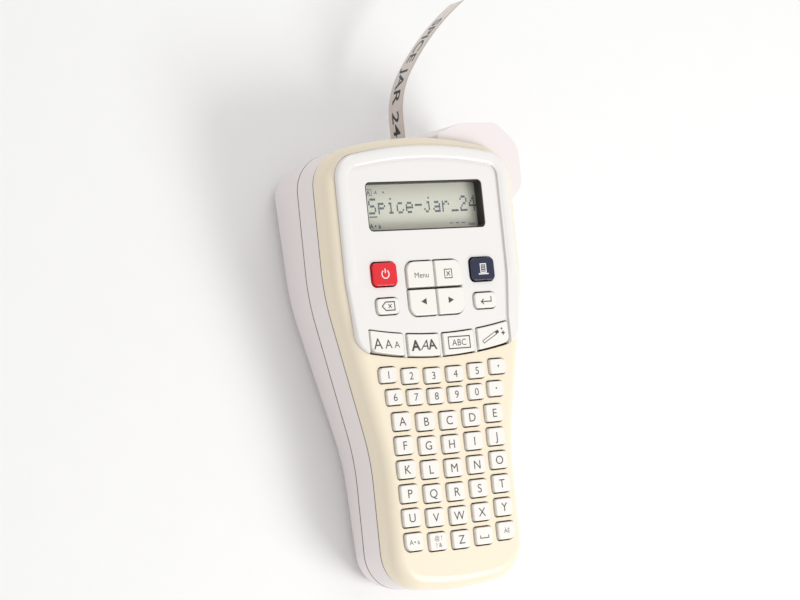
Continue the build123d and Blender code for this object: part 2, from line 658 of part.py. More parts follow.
def drive_motor():
    """Small direct-current motor: flat-sided can, nose and shaft."""
    x, y = MOTOR_XY
    can = rod(x, y, CHASSIS_LOW_Z - MOTOR_LENGTH, CHASSIS_LOW_Z, MOTOR_RADIUS)
    can = can & box_between((x - 15, x + 15), (y - MOTOR_FLAT, y + MOTOR_FLAT), (-60, 0))
    can += rod(x, y, CHASSIS_LOW_Z, CHASSIS_TOP_Z, 3.0)
    can += rod(x, y, CHASSIS_LOW_Z - MOTOR_LENGTH - 1.5, CHASSIS_LOW_Z - MOTOR_LENGTH, 3.5)
    return can


ROLLER_TOP_Z = TAPE_Z + TAPE_WIDTH / 2 + 0.3
ROLLER_LOW_Z = TAPE_Z - TAPE_WIDTH / 2 - 0.3
HOLDER_LOW_Z = ROLLER_LOW_Z - 2.4


def roller_holder():
    """Bracket that stands on the chassis and carries the roller shaft's far end."""
    x, y = PLATEN_XY
    holder = box_between((x + 7, x + 9), (y - 4, y + 4), (HOLDER_LOW_Z, CHASSIS_LOW_Z))
    holder += box_between((x - 3.4, x + 9), (y - 4, y + 4), (HOLDER_LOW_Z, HOLDER_LOW_Z + 1.5))
    return holder - rod(x, y, HOLDER_LOW_Z - 1, HOLDER_LOW_Z + 2, AXLE_RADIUS + RUNNING_CLEARANCE)


def print_head():
    """Ceramic print line that faces the tape across the roller."""
    right = TAPE_X - TAPE_THICKNESS / 2 - 0.3
    return box_between((right - 0.9, right), (75, 85), (TAPE_Z - 6.2, TAPE_Z + 6.2))


def heat_sink():
    """Aluminium plate behind the print head, standing on the chassis by its foot."""
    right = TAPE_X - TAPE_THICKNESS / 2 - 1.2
    sink = box_between((right - 1.8, right), (73, 86), (TAPE_Z - 6.6, CHASSIS_LOW_Z))
    return sink + box_between((4.6, right), (76, 86), (CASSETTE_TOP_Z + 0.1, CHASSIS_LOW_Z))


# ---------------------------------------------------------------- tape cassette
HEAD_BAY_X = (2.6, 14.0)
HEAD_BAY_Y = (66.5, 87.8)
TAPE_ROLL_XY = (-23.2, 37.6)
TAPE_ROLL_RADIUS = 17.6
SUPPLY_XY = (-28.0, 76.5)
SUPPLY_RADIUS = 10.5
TAKEUP_RADIUS = 6.6
GUIDE_RADIUS = 3.3
HUB_RADIUS = 3.4
CASSETTE_SPLIT_Z = CASSETTE_TOP_Z - CASSETTE_DEPTH / 2
CASSETTE_LOW_Z = CASSETTE_TOP_Z - CASSETTE_DEPTH
GUIDE_XY = (TAPE_X - GUIDE_RADIUS - TAPE_THICKNESS / 2, 17.5)
CURLS = [(40.0, 35.0), (136.5, 20.6)]


def cassette_outline(inset=0.0):
    """Plan of the tape cassette, with the open bay where the print head stands."""
    face = Pos(sum(CASSETTE_X) / 2, sum(CASSETTE_Y) / 2) * rounded(
        CASSETTE_X[1] - CASSETTE_X[0], CASSETTE_Y[1] - CASSETTE_Y[0], [3.0, 3.0, 2.0, 3.0]
    )
    bay = Pos(sum(HEAD_BAY_X) / 2, sum(HEAD_BAY_Y) / 2) * Rectangle(
        HEAD_BAY_X[1] - HEAD_BAY_X[0], HEAD_BAY_Y[1] - HEAD_BAY_Y[0]
    )
    face = face - bay
    return offset(face, amount=-inset) if inset else face


def cassette_half(low, high, floor_low, floor_high):
    """One half of the cassette shell: floor, outer wall and the slits the tape runs through."""
    half = slab(cassette_outline(), low, high) - slab(cassette_outline(CASSETTE_WALL), low - 1, high + 1)
    half += slab(cassette_outline(), floor_low, floor_high)
    tape_gap = (TAPE_X - 0.6, TAPE_X + 0.6)
    half -= box_between(tape_gap, (60, 95), (TAPE_Z - TAPE_WIDTH / 2 - 0.4, TAPE_Z + TAPE_WIDTH / 2 + 0.4))
    return half


def cassette_base():
    """Cassette half that faces the mechanism, with the roll's hub and the tape guide."""
    floor = CASSETTE_TOP_Z - CASSETTE_WALL
    half = cassette_half(CASSETTE_SPLIT_Z + 0.1, CASSETTE_TOP_Z, floor, CASSETTE_TOP_Z)
    half += rod(*TAPE_ROLL_XY, CASSETTE_LOW_Z + 3, floor + 0.5, HUB_RADIUS)
    half += rod(*SUPPLY_XY, CASSETTE_LOW_Z + 3, floor + 0.5, HUB_RADIUS)
    half += rod(*GUIDE_XY, CASSETTE_LOW_Z + 3, floor + 0.5, GUIDE_RADIUS - 0.15)
    return half - rod(*RIBBON_XY, floor - 1, CASSETTE_TOP_Z + 1, RIBBON_POST_RADIUS + 1.2)


def cassette_lid():
    """Outer cassette half, which shows when the rear cover is off."""
    return cassette_half(CASSETTE_LOW_Z, CASSETTE_SPLIT_Z - 0.1, CASSETTE_LOW_Z, CASSETTE_LOW_Z + CASSETTE_WALL)


def ring(x, y, low, high, inner, outer):
    """A tube standing between two heights."""
    return rod(x, y, low, high, outer) - rod(x, y, low - 1, high + 1, inner)


def tape_edges(side):
    """One long edge of the tape's path: off the roll, round the guide, past the head, out and curling."""
    roll = TAPE_ROLL_RADIUS + 0.35 + side
    guide = GUIDE_RADIUS + TAPE_THICKNESS / 2 + side - TAPE_THICKNESS / 2 + 0.15
    dx = GUIDE_XY[0] - TAPE_ROLL_XY[0]
    dy = GUIDE_XY[1] - TAPE_ROLL_XY[1]
    span = math.hypot(dx, dy)
    lean = (roll - guide) / span
    reach = math.sqrt(1 - lean**2)
    normal = ((lean * dx + reach * dy) / span, (lean * dy - reach * dx) / span)
    leave = (TAPE_ROLL_XY[0] + roll * normal[0], TAPE_ROLL_XY[1] + roll * normal[1])
    meet = (GUIDE_XY[0] + guide * normal[0], GUIDE_XY[1] + guide * normal[1])
    half_angle = math.atan2(normal[1], normal[0]) / 2
    middle = (GUIDE_XY[0] + guide * math.cos(half_angle), GUIDE_XY[1] + guide * math.sin(half_angle))
    right = (GUIDE_XY[0] + guide, GUIDE_XY[1])
    edges = [Line(leave, meet), ThreePointArc(meet, middle, right)]
    edges.append(Line(right, (right[0], TAPE_STRAIGHT_END)))
    x, y, heading = TAPE_X, TAPE_STRAIGHT_END, 0.0
    for radius, turn in CURLS:
        centre = (x + radius * math.cos(heading), y - radius * math.sin(heading))
        points = []
        for step in (0, 0.5, 1):
            angle = heading + math.radians(turn) * step
            reach = radius - side
            points.append((centre[0] - reach * math.cos(angle), centre[1] + reach * math.sin(angle)))
        edges.append(ThreePointArc(*points))
        heading += math.radians(turn)
        x = centre[0] - radius * math.cos(heading)
        y = centre[1] + radius * math.sin(heading)
    return edges


def label_tape():
    """The printed tape, standing on edge from the roll to its curled free end."""
    outer = tape_edges(TAPE_THICKNESS / 2)
    inner = tape_edges(-TAPE_THICKNESS / 2)
    ends = [Line(outer[0] @ 0, inner[0] @ 0), Line(outer[-1] @ 1, inner[-1] @ 1)]
    return slab(make_face(outer + inner + ends), TAPE_Z - TAPE_WIDTH / 2, TAPE_Z + TAPE_WIDTH / 2)


# ---------------------------------------------------------------- cutter
LEVER_OUTLINE = [
    (16.4, 98.0),
    (16.4, 105.4),
    (30.0, 110.6),
    (50.0, 110.6),
    (61.8, 100.0),
    (61.8, 80.0),
    (54.0, 72.6),
]
LEVER_TIP_X = LEVER_OUTLINE[0][0]
LEVER_ROUNDING = [1.6, 14.0, 9.0, 12.0, 9.0]
LEVER_INNER = [(50.6, 72.6), (50.6, 85.0), (42.0, 97.4)]


def lever_profile():
    """The lever's plan: a rounded outer face over an inner edge that follows the housing's corner."""
    profile = make_face(Polyline(*LEVER_OUTLINE, *LEVER_INNER, close=True).edges())
    for corner, radius in zip(LEVER_OUTLINE[1:], LEVER_ROUNDING):
        nearest = profile.vertices().sort_by_distance((*corner, 0))[0]
        profile = fillet(nearest, radius)
    return profile


def lever_core():
    """The lever's hollow in plan: its profile brought in by the wall, left open towards the housing."""
    inner_edge = Polyline((18.8, 90), (18.8, 110), (70, 110), (70, 74.6), (40, 74.6), (40, 90), close=True)
    return offset(lever_profile(), amount=-LEVER_WALL) + (make_face(inner_edge.edges()) & lever_mouth())


def lever_mouth():
    """Strip along the lever's inner edge, taken out of its wall."""
    outside = [(18.8, 96), (18.8, 100.4), (43.8, 100.4), (53.4, 86), (53.4, 70)]
    inside = [(48, 70), (48, 85), (40, 96)]
    strip = Polyline(*outside, *inside, close=True)
    return make_face(strip.edges())


def cutter_lever():
    """Hollow thumb lever that wraps the corner and swings on its pin."""
    lever = slab(lever_profile(), LEVER_BOTTOM_Z, LEVER_TOP_Z)
    lever -= slab(lever_core(), LEVER_BOTTOM_Z + 1.8, LEVER_TOP_Z - 1.8)
    x, y = LEVER_PIN_XY
    arm = box_between((x, x + 11.0), (y - 2.6, y + 2.6), (-21, -17.2)) + rod(x, y, -21, -17.2, 3.0)
    lever += arm
    lever -= rod(x, y, -30, -10, AXLE_RADIUS + RUNNING_CLEARANCE)
    return lever - cutter_blade(0.04)


def cutter_blade(grow=0.0):
    """Steel blade held in the lever's tip, its edge just short of the tape."""
    y = 98.7
    return box_between(
        (14.2 - grow, LEVER_TIP_X + 1.6 + grow),
        (y - 0.25 - grow, y + 0.25 + grow),
        (TAPE_Z - 6.9 - grow, TAPE_Z + 6.9 + grow),
    )


def lever_spring():
    """Torsion spring round the lever's pin."""
    x, y = LEVER_PIN_XY
    coil = None
    for turn in range(3):
        loop = Pos(x, y, -16.75 + 0.56 * turn) * Torus(2.2, 0.25)
        coil = loop if coil is None else coil + loop
    legs = box_between((x - 6.5, x), (y - 2.4, y - 2.0), (-16.95, -16.55))
    legs += box_between((x - 0.2, x + 0.2), (y - 2.4, y - 2.0), (-16.95, -15.6))
    legs += box_between((x + 2.0, x + 2.4), (y - 7, y), (-15.8, -15.4))
    return coil + legs


# ---------------------------------------------------------------- power
def cells():
    """Six AAA cells lying side by side, each turned the other way from the last."""
    group = []
    for i in range(CELL_COUNT):
        y = CELL_FIRST_Y + i * CELL_PITCH
        turn = 1 if i % 2 else -1
        can = Pos(-turn * 0.5, y, CELL_Z) * Rot(Y=90) * Cylinder(CELL_RADIUS, CELL_LENGTH - 1)
        can = fillet([e for e in can.edges() if e.geom_type == GeomType.CIRCLE], 0.5)
        group.append(can + Pos(turn * (CELL_LENGTH / 2 - 0.75), y, CELL_Z) * Rot(Y=90) * Cylinder(1.9, 1.5))
    return Compound(children=group)


def battery_contacts():
    """Sprung plate at each end of each cell."""
    group = []
    for i in range(CELL_COUNT):
        y = CELL_FIRST_Y + i * CELL_PITCH
        for side in (-1, 1):
            plate = Pos(side * (CELL_LENGTH / 2 + 2.05), y, CELL_Z + 1) * Box(0.4, 8, 7)
            plate += Pos(side * (CELL_LENGTH / 2 + 1.1), y, CELL_Z) * Rot(Y=90) * Cylinder(1.8, 1.6)
            group.append(plate)
    return Compound(children=group)


JACK_BODY_X = (35.0, 45.0)


def adapter_jack():
    """Socket for the power adapter, open through the right side of the housing."""
    body = box_between(JACK_BODY_X, (JACK_Y - 4.5, JACK_Y + 4.5), (JACK_Z - 4.5, JACK_Z + 4.5))
    return body - Pos(JACK_BODY_X[1] - 4.2, JACK_Y, JACK_Z) * Rot(Y=90) * Cylinder(2.85, 8.6)


def jack_pin():
    """Centre pin of the adapter socket."""
    return Pos(JACK_BODY_X[1] - 4.7, JACK_Y, JACK_Z) * Rot(Y=90) * Cylinder(1.0, 7.4)


def screws(places, head_z, tip_z):
    """A set of identical pan-head screws pointing at the keypad."""
    group = []
    for x, y in places:
        screw = rod(x, y, head_z, tip_z, SCREW_RADIUS - 0.02)
        screw += rod(x, y, head_z - 1.6, head_z, SCREW_HEAD_RADIUS)
        for turn in (0, 90):
            slot = Pos(x, y, head_z - 1.4) * Rot(Z=turn) * Box(2.4, 0.6, 0.8)
            screw -= slot
        group.append(screw)
    return Compound(children=group)


# ---------------------------------------------------------------- write every node
save("front_cover", front_cover())
save("mid_housing", mid_housing())
save("rear_cover", rear_cover())
save("display_bezel", display_bezel())
save("lcd_frame", lcd_frame())
save("lcd_window", lcd_layer(-7.0, -5.9))
save("lcd_panel", lcd_layer(-8.6, -7.1))
first_letter_row = key_row("letter_row_1")
for row_name in ("number_row_1", "number_row_2", "letter_row_6"):
    save(row_name, key_row(row_name))
for step in range(5):
    save(f"letter_row_{step + 1}", Pos(0, -step * LETTER_PITCH_Y, 0) * first_letter_row)
for button_name, (button_face, button_top) in BUTTONS.items():
    save(button_name, button(button_face, button_top))
save("keypad_mat", keypad_mat())
save("main_board", main_board())

DRIVE_PHASE = 0.1
PINION_PHASE = meshed(PINION_TEETH, DRIVE_XY, DRIVE_PHASE, DRIVE_TEETH, MOTOR_XY)
PLATEN_PHASE = meshed(PLATEN_TEETH, DRIVE_XY, DRIVE_PHASE, DRIVE_TEETH, PLATEN_XY)
RIBBON_PHASE = meshed(RIBBON_TEETH, DRIVE_XY, DRIVE_PHASE, DRIVE_TEETH, RIBBON_XY)
drive_bore = AXLE_RADIUS + RUNNING_CLEARANCE
save("drive_gear", gear(DRIVE_TEETH, *DRIVE_XY, DRIVE_PHASE, GEAR_LOW_Z, GEAR_TOP_Z, drive_bore))
pinion = gear(PINION_TEETH, *MOTOR_XY, PINION_PHASE, GEAR_LOW_Z - 0.4, GEAR_TOP_Z, 1.0)
save("motor_pinion", pinion)
save("motor_shaft", rod(*MOTOR_XY, CHASSIS_TOP_Z + 0.1, GEAR_TOP_Z + 0.5, 1.0))
save("platen_gear", gear(PLATEN_TEETH, *PLATEN_XY, PLATEN_PHASE, GEAR_LOW_Z, GEAR_TOP_Z, AXLE_RADIUS))
ribbon_wheel = gear(RIBBON_TEETH, *RIBBON_XY, RIBBON_PHASE, GEAR_LOW_Z, GEAR_TOP_Z, 1.0)
save("ribbon_gear", ribbon_wheel + rod(*RIBBON_XY, CASSETTE_LOW_Z + 4, GEAR_LOW_Z, RIBBON_POST_RADIUS))
save("gear_axle", rod(*DRIVE_XY, CHASSIS_LOW_Z, GEAR_TOP_Z + 1.2, AXLE_RADIUS))
save("chassis_plate", chassis_plate())
save("drive_motor", drive_motor())
save("platen_shaft", rod(*PLATEN_XY, HOLDER_LOW_Z - 0.4, GEAR_TOP_Z + 0.6, AXLE_RADIUS))
save("platen_roller", ring(*PLATEN_XY, ROLLER_LOW_Z, ROLLER_TOP_Z, AXLE_RADIUS, PLATEN_RADIUS))
save("roller_holder", roller_holder())
save("print_head", print_head())
save("heat_sink", heat_sink())
save("head_cable", box_between((3.8, 4.1), (74, 84), (CHASSIS_LOW_Z, BOARD_TOP_Z - BOARD_THICKNESS)))

save("cassette_base", cassette_base())
save("cassette_lid", cassette_lid())
save("tape_spool", ring(*TAPE_ROLL_XY, ROLLER_LOW_Z, ROLLER_TOP_Z, HUB_RADIUS + 0.08, 6.0))
save("tape_roll", ring(*TAPE_ROLL_XY, TAPE_Z - 6, TAPE_Z + 6, 6.0, TAPE_ROLL_RADIUS))
save("ribbon_supply_spool", ring(*SUPPLY_XY, ROLLER_LOW_Z, ROLLER_TOP_Z, HUB_RADIUS + 0.08, SUPPLY_RADIUS))
takeup_bore = RIBBON_POST_RADIUS + 0.4
save("ribbon_takeup_spool", ring(*RIBBON_XY, ROLLER_LOW_Z, ROLLER_TOP_Z, takeup_bore, TAKEUP_RADIUS))
save("label_tape", label_tape())

save("cutter_lever", cutter_lever())
save("cutter_blade", cutter_blade())
save("lever_pin", rod(*LEVER_PIN_XY, CHASSIS_LOW_Z, DECK_TOP_Z, AXLE_RADIUS))
save("lever_spring", lever_spring())

save("batteries", cells())
save("battery_contacts", battery_contacts())
save("adapter_jack", adapter_jack())
save("jack_pin", jack_pin())
save("housing_screws", screws(HOUSING_SCREWS, DECK_TOP_Z - DECK_THICKNESS, -6.2))
save("chassis_screws", screws(CHASSIS_SCREWS, CHASSIS_LOW_Z, CHASSIS_TOP_Z + 6))
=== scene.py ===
"""Looks of a hand-held label maker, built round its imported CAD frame.

The millimetre sizes below are in the keypad's own frame: x to the right, y towards the end
where the label leaves, and z out of the key tops. FaceFrame turns them into the row frame.
"""

import json
import logging
import math
from dataclasses import dataclass, field
from enum import Enum

import bmesh
import bpy
from mathutils import Matrix, Vector

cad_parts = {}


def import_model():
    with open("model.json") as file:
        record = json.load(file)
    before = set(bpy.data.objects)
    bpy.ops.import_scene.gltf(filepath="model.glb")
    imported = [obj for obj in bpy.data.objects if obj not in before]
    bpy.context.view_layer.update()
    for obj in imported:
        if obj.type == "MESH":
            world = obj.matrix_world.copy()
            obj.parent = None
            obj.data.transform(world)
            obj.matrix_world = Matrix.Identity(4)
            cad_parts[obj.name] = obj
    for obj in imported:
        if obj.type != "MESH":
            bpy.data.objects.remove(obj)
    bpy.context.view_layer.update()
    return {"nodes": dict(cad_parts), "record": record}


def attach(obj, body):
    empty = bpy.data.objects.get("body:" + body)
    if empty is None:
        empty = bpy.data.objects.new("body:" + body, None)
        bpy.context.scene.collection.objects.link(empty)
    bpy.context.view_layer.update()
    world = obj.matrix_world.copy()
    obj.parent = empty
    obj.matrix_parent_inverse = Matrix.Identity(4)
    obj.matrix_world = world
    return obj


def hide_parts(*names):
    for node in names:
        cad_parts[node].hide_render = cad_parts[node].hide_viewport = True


LOG = logging.getLogger("label_maker")
MM = 0.001


class Pattern(Enum):
    """How a finish varies over its surface."""

    MOULDED = "moulded"
    BRUSHED = "brushed"
    STRIPES = "stripes"
    BANDS = "bands"
    BOARD = "board"
    SCREEN = "screen"


class Align(Enum):
    """Where a line of text sits against its anchor."""

    LEFT = "LEFT"
    CENTRE = "CENTER"


# ---------------------------------------------------------------- places
@dataclass(frozen=True)
class FaceFrame:
    """The keypad's frame, as seen from the row frame.

    Args:
        origin: The keypad frame's origin, in metres.
        normal: Unit vector out of the key tops.
    """

    origin: Vector
    normal: Vector

    @classmethod
    def from_record(cls, record: dict, hinge: str, place: tuple[float, float, float]) -> "FaceFrame":
        """Finds the frame from one joint of the record.

        Args:
            record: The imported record.
            hinge: A joint whose axis is the keypad's normal.
            place: Where that joint is in the keypad frame, in millimetres.

        Returns:
            The frame.
        """
        joint = next(j for j in record["behaviour"]["joints"] if j["name"] == hinge)
        normal = Vector(joint["axis"]).normalized()
        along = Vector((0, normal.z, -normal.y))
        x, y, z = (value * MM for value in place)
        origin = Vector(joint["pos_m"]) - Vector((x, 0, 0)) - along * y - normal * z
        return cls(origin, normal)

    @property
    def along(self) -> Vector:
        """Unit vector of the keypad's y."""
        return Vector((0, self.normal.z, -self.normal.y))

    @property
    def matrix(self) -> Matrix:
        """Keypad millimetres to row metres."""
        turn = Matrix((Vector((1, 0, 0)), self.along, self.normal)).transposed().to_4x4()
        return Matrix.Translation(self.origin) @ turn @ Matrix.Scale(MM, 4)

    def turned(self, direction: Vector) -> Vector:
        """A direction of the keypad frame, in the row frame."""
        return (self.matrix.to_3x3() @ direction).normalized()

    def local(self, point: Vector) -> Vector:
        """A point of the row frame, in keypad millimetres."""
        return self.matrix.inverted() @ point


@dataclass
class CadOutlines:
    """Reads the outlines of a CAD node's top faces."""

    face: FaceFrame
    nodes: dict

    def heights(self, node: str) -> tuple[float, float]:
        """Lowest and highest z of a node, in keypad millimetres."""
        values = [self.face.local(v.co).z for v in self.nodes[node].data.vertices]
        return min(values), max(values)

    def loops(self, node: str, height: float | None = None) -> list[list[Vector]]:
        """Outlines of the faces that look out of the keypad at one height.

        Args:
            node: The CAD node.
            height: Their z; the node's highest one if it is left out.

        Returns:
            One list of points for each outline, ordered by the outline's middle x.
        """
        bm = bmesh.new()
        bm.from_mesh(self.nodes[node].data)
        bmesh.ops.transform(bm, matrix=self.face.matrix.inverted(), verts=bm.verts)
        bmesh.ops.remove_doubles(bm, verts=bm.verts, dist=0.004)
        bmesh.ops.dissolve_degenerate(bm, dist=0.004, edges=bm.edges)
        level = max(v.co.z for v in bm.verts) if height is None else height
        top = {f for f in bm.faces if all(abs(v.co.z - level) < 0.01 for v in f.verts)}
        rim = {e for e in bm.edges if sum(f in top for f in e.link_faces) == 1}
        found = []
        while rim:
            edge = rim.pop()
            first, last = edge.verts
            points = [first.co.copy(), last.co.copy()]
            while True:
                following = next((e for e in last.link_edges if e in rim), None)
                if following is None:
                    break
                rim.discard(following)
                last = following.other_vert(last)
                if last is first:
                    break
                points.append(last.co.copy())
            found.append(points)
        bm.free()
        found = [loop for loop in found if abs(_area(loop)) > 2.0]
        return sorted(found, key=lambda loop: sum(p.x for p in loop) / len(loop))


# ---------------------------------------------------------------- materials
class NodeGroups:
    """Makes the shared node groups once each."""

    def __init__(self) -> None:
        self._made: dict[Pattern, bpy.types.NodeTree] = {}

    def get(self, pattern: Pattern) -> bpy.types.NodeTree:
        """The group for a pattern: colour factor, roughness spread and normal."""
        if pattern not in self._made:
            self._made[pattern] = self._build(pattern)
        return self._made[pattern]

    def _build(self, pattern: Pattern) -> bpy.types.NodeTree:
        """Builds one group.

        Args:
            pattern: Which surface variation it gives.

        Returns:
            The node tree, with outputs Mask, Wear and Normal.
        """
        tree = bpy.data.node_groups.new(f"surface_{pattern.value}", "ShaderNodeTree")
        for name, kind in (("Vector", "Vector"), ("Scale", "Float"), ("Height", "Float")):
            tree.interface.new_socket(name, in_out="INPUT", socket_type=f"NodeSocket{kind}")
        for name, kind in (("Mask", "Float"), ("Wear", "Float"), ("Normal", "Vector")):
            tree.interface.new_socket(name, in_out="OUTPUT", socket_type=f"NodeSocket{kind}")
        inside = tree.nodes.new("NodeGroupInput")
        outside = tree.nodes.new("NodeGroupOutput")
        stretch = tree.nodes.new("ShaderNodeMapping")
        stretch.inputs["Scale"].default_value = (0.04, 1, 1) if pattern is Pattern.BRUSHED else (1, 1, 1)
        tree.links.new(inside.outputs["Vector"], stretch.inputs["Vector"])
        grain = tree.nodes.new("ShaderNodeTexNoise")
        grain.inputs["Detail"].default_value = 3.0
        tree.links.new(stretch.outputs["Vector"], grain.inputs["Vector"])
        tree.links.new(inside.outputs["Scale"], grain.inputs["Scale"])
        mask = self._mask(tree, pattern, inside, grain)
        cloud = tree.nodes.new("ShaderNodeTexNoise")
        cloud.inputs["Scale"].default_value = 22.0
        tree.links.new(inside.outputs["Vector"], cloud.inputs["Vector"])
        bump = tree.nodes.new("ShaderNodeBump")
        bump.inputs["Distance"].default_value = 0.00005
        tree.links.new(inside.outputs["Height"], bump.inputs["Strength"])
        tree.links.new(grain.outputs["Fac"], bump.inputs["Height"])
        tree.links.new(mask, outside.inputs["Mask"])
        tree.links.new(cloud.outputs["Fac"], outside.inputs["Wear"])
        tree.links.new(bump.outputs["Normal"], outside.inputs["Normal"])
        return tree

    def _mask(
        self, tree: bpy.types.NodeTree, pattern: Pattern, inside: bpy.types.Node, grain: bpy.types.Node
    ) -> bpy.types.NodeSocket:
        """The socket that mixes a finish's two colours.

        Args:
            tree: The group being made.
            pattern: Its pattern.
            inside: Its input node.
            grain: Its fine noise.

        Returns:
            An output socket from 0 to 1.
        """
        if pattern in (Pattern.MOULDED, Pattern.BRUSHED):
            return grain.outputs["Fac"]
        if pattern is Pattern.BOARD:
            cells = tree.nodes.new("ShaderNodeTexBrick")
            cells.inputs["Color1"].default_value = (0, 0, 0, 1)
            cells.inputs["Color2"].default_value = (0.25, 0.25, 0.25, 1)
            cells.inputs["Mortar"].default_value = (1, 1, 1, 1)
            cells.inputs["Scale"].default_value = 180.0
            tree.links.new(inside.outputs["Vector"], cells.inputs["Vector"])
            return cells.outputs["Color"]
        wave = tree.nodes.new("ShaderNodeTexWave")
        wave.bands_direction = "Y" if pattern is Pattern.SCREEN else "X"
        wave.wave_profile = "SAW" if pattern is Pattern.BANDS else "SIN"
        wave.inputs["Scale"].default_value = {
            Pattern.STRIPES: 150.0,
            Pattern.BANDS: 3.6,
            Pattern.SCREEN: 400.0,
        }[pattern]
        tree.links.new(inside.outputs["Vector"], wave.inputs["Vector"])
        return wave.outputs["Fac"]


@dataclass(frozen=True)
class Finish:
    """A procedural finish.

    Args:
        name: The material's name.
        colour: Linear base colour.
        second: Linear colour the pattern mixes in.
        roughness: Middle roughness.
        spread: How far the roughness wanders.
        pattern: The surface variation.
        scale: Fineness of the grain, per metre.
        height: Strength of the grain's bump.
        metallic: Metallic value.
        coat: Coat weight.
        alpha: Opacity.
    """

    name: str
    colour: tuple[float, float, float]
    second: tuple[float, float, float]
    roughness: float = 0.4
    spread: float = 0.08
    pattern: Pattern = Pattern.MOULDED
    scale: float = 2500.0
    height: float = 0.15
    metallic: float = 0.0
    coat: float = 0.0
    alpha: float = 1.0

    def material(self, groups: NodeGroups) -> bpy.types.Material:
        """Builds the material.

        Args:
            groups: The shared node groups.

        Returns:
            The material, on object coordinates.
        """
        found = bpy.data.materials.get(f"look_{self.name}")
        if found:
            return found
        made = bpy.data.materials.new(f"look_{self.name}")
        made.use_nodes = True
        nodes, links = made.node_tree.nodes, made.node_tree.links
        shader = nodes["Principled BSDF"]
        place = nodes.new("ShaderNodeTexCoord")
        surface = nodes.new("ShaderNodeGroup")
        surface.node_tree = groups.get(self.pattern)
        surface.inputs["Scale"].default_value = self.scale
        surface.inputs["Height"].default_value = self.height
        links.new(place.outputs["Object"], surface.inputs["Vector"])
        mix = nodes.new("ShaderNodeMix")
        mix.data_type = "RGBA"
        mix.inputs["A"].default_value = (*self.colour, 1)
        mix.inputs["B"].default_value = (*self.second, 1)
        links.new(surface.outputs["Mask"], mix.inputs["Factor"])
        links.new(mix.outputs["Result"], shader.inputs["Base Color"])
        spread = nodes.new("ShaderNodeMapRange")
        spread.inputs["To Min"].default_value = max(self.roughness - self.spread, 0.02)
        spread.inputs["To Max"].default_value = self.roughness + self.spread
        links.new(surface.outputs["Wear"], spread.inputs["Value"])
        links.new(spread.outputs["Result"], shader.inputs["Roughness"])
        links.new(surface.outputs["Normal"], shader.inputs["Normal"])
        shader.inputs["Metallic"].default_value = self.metallic
        shader.inputs["Coat Weight"].default_value = self.coat
        shader.inputs["Coat Roughness"].default_value = 0.08
        shader.inputs["Alpha"].default_value = self.alpha
        return made


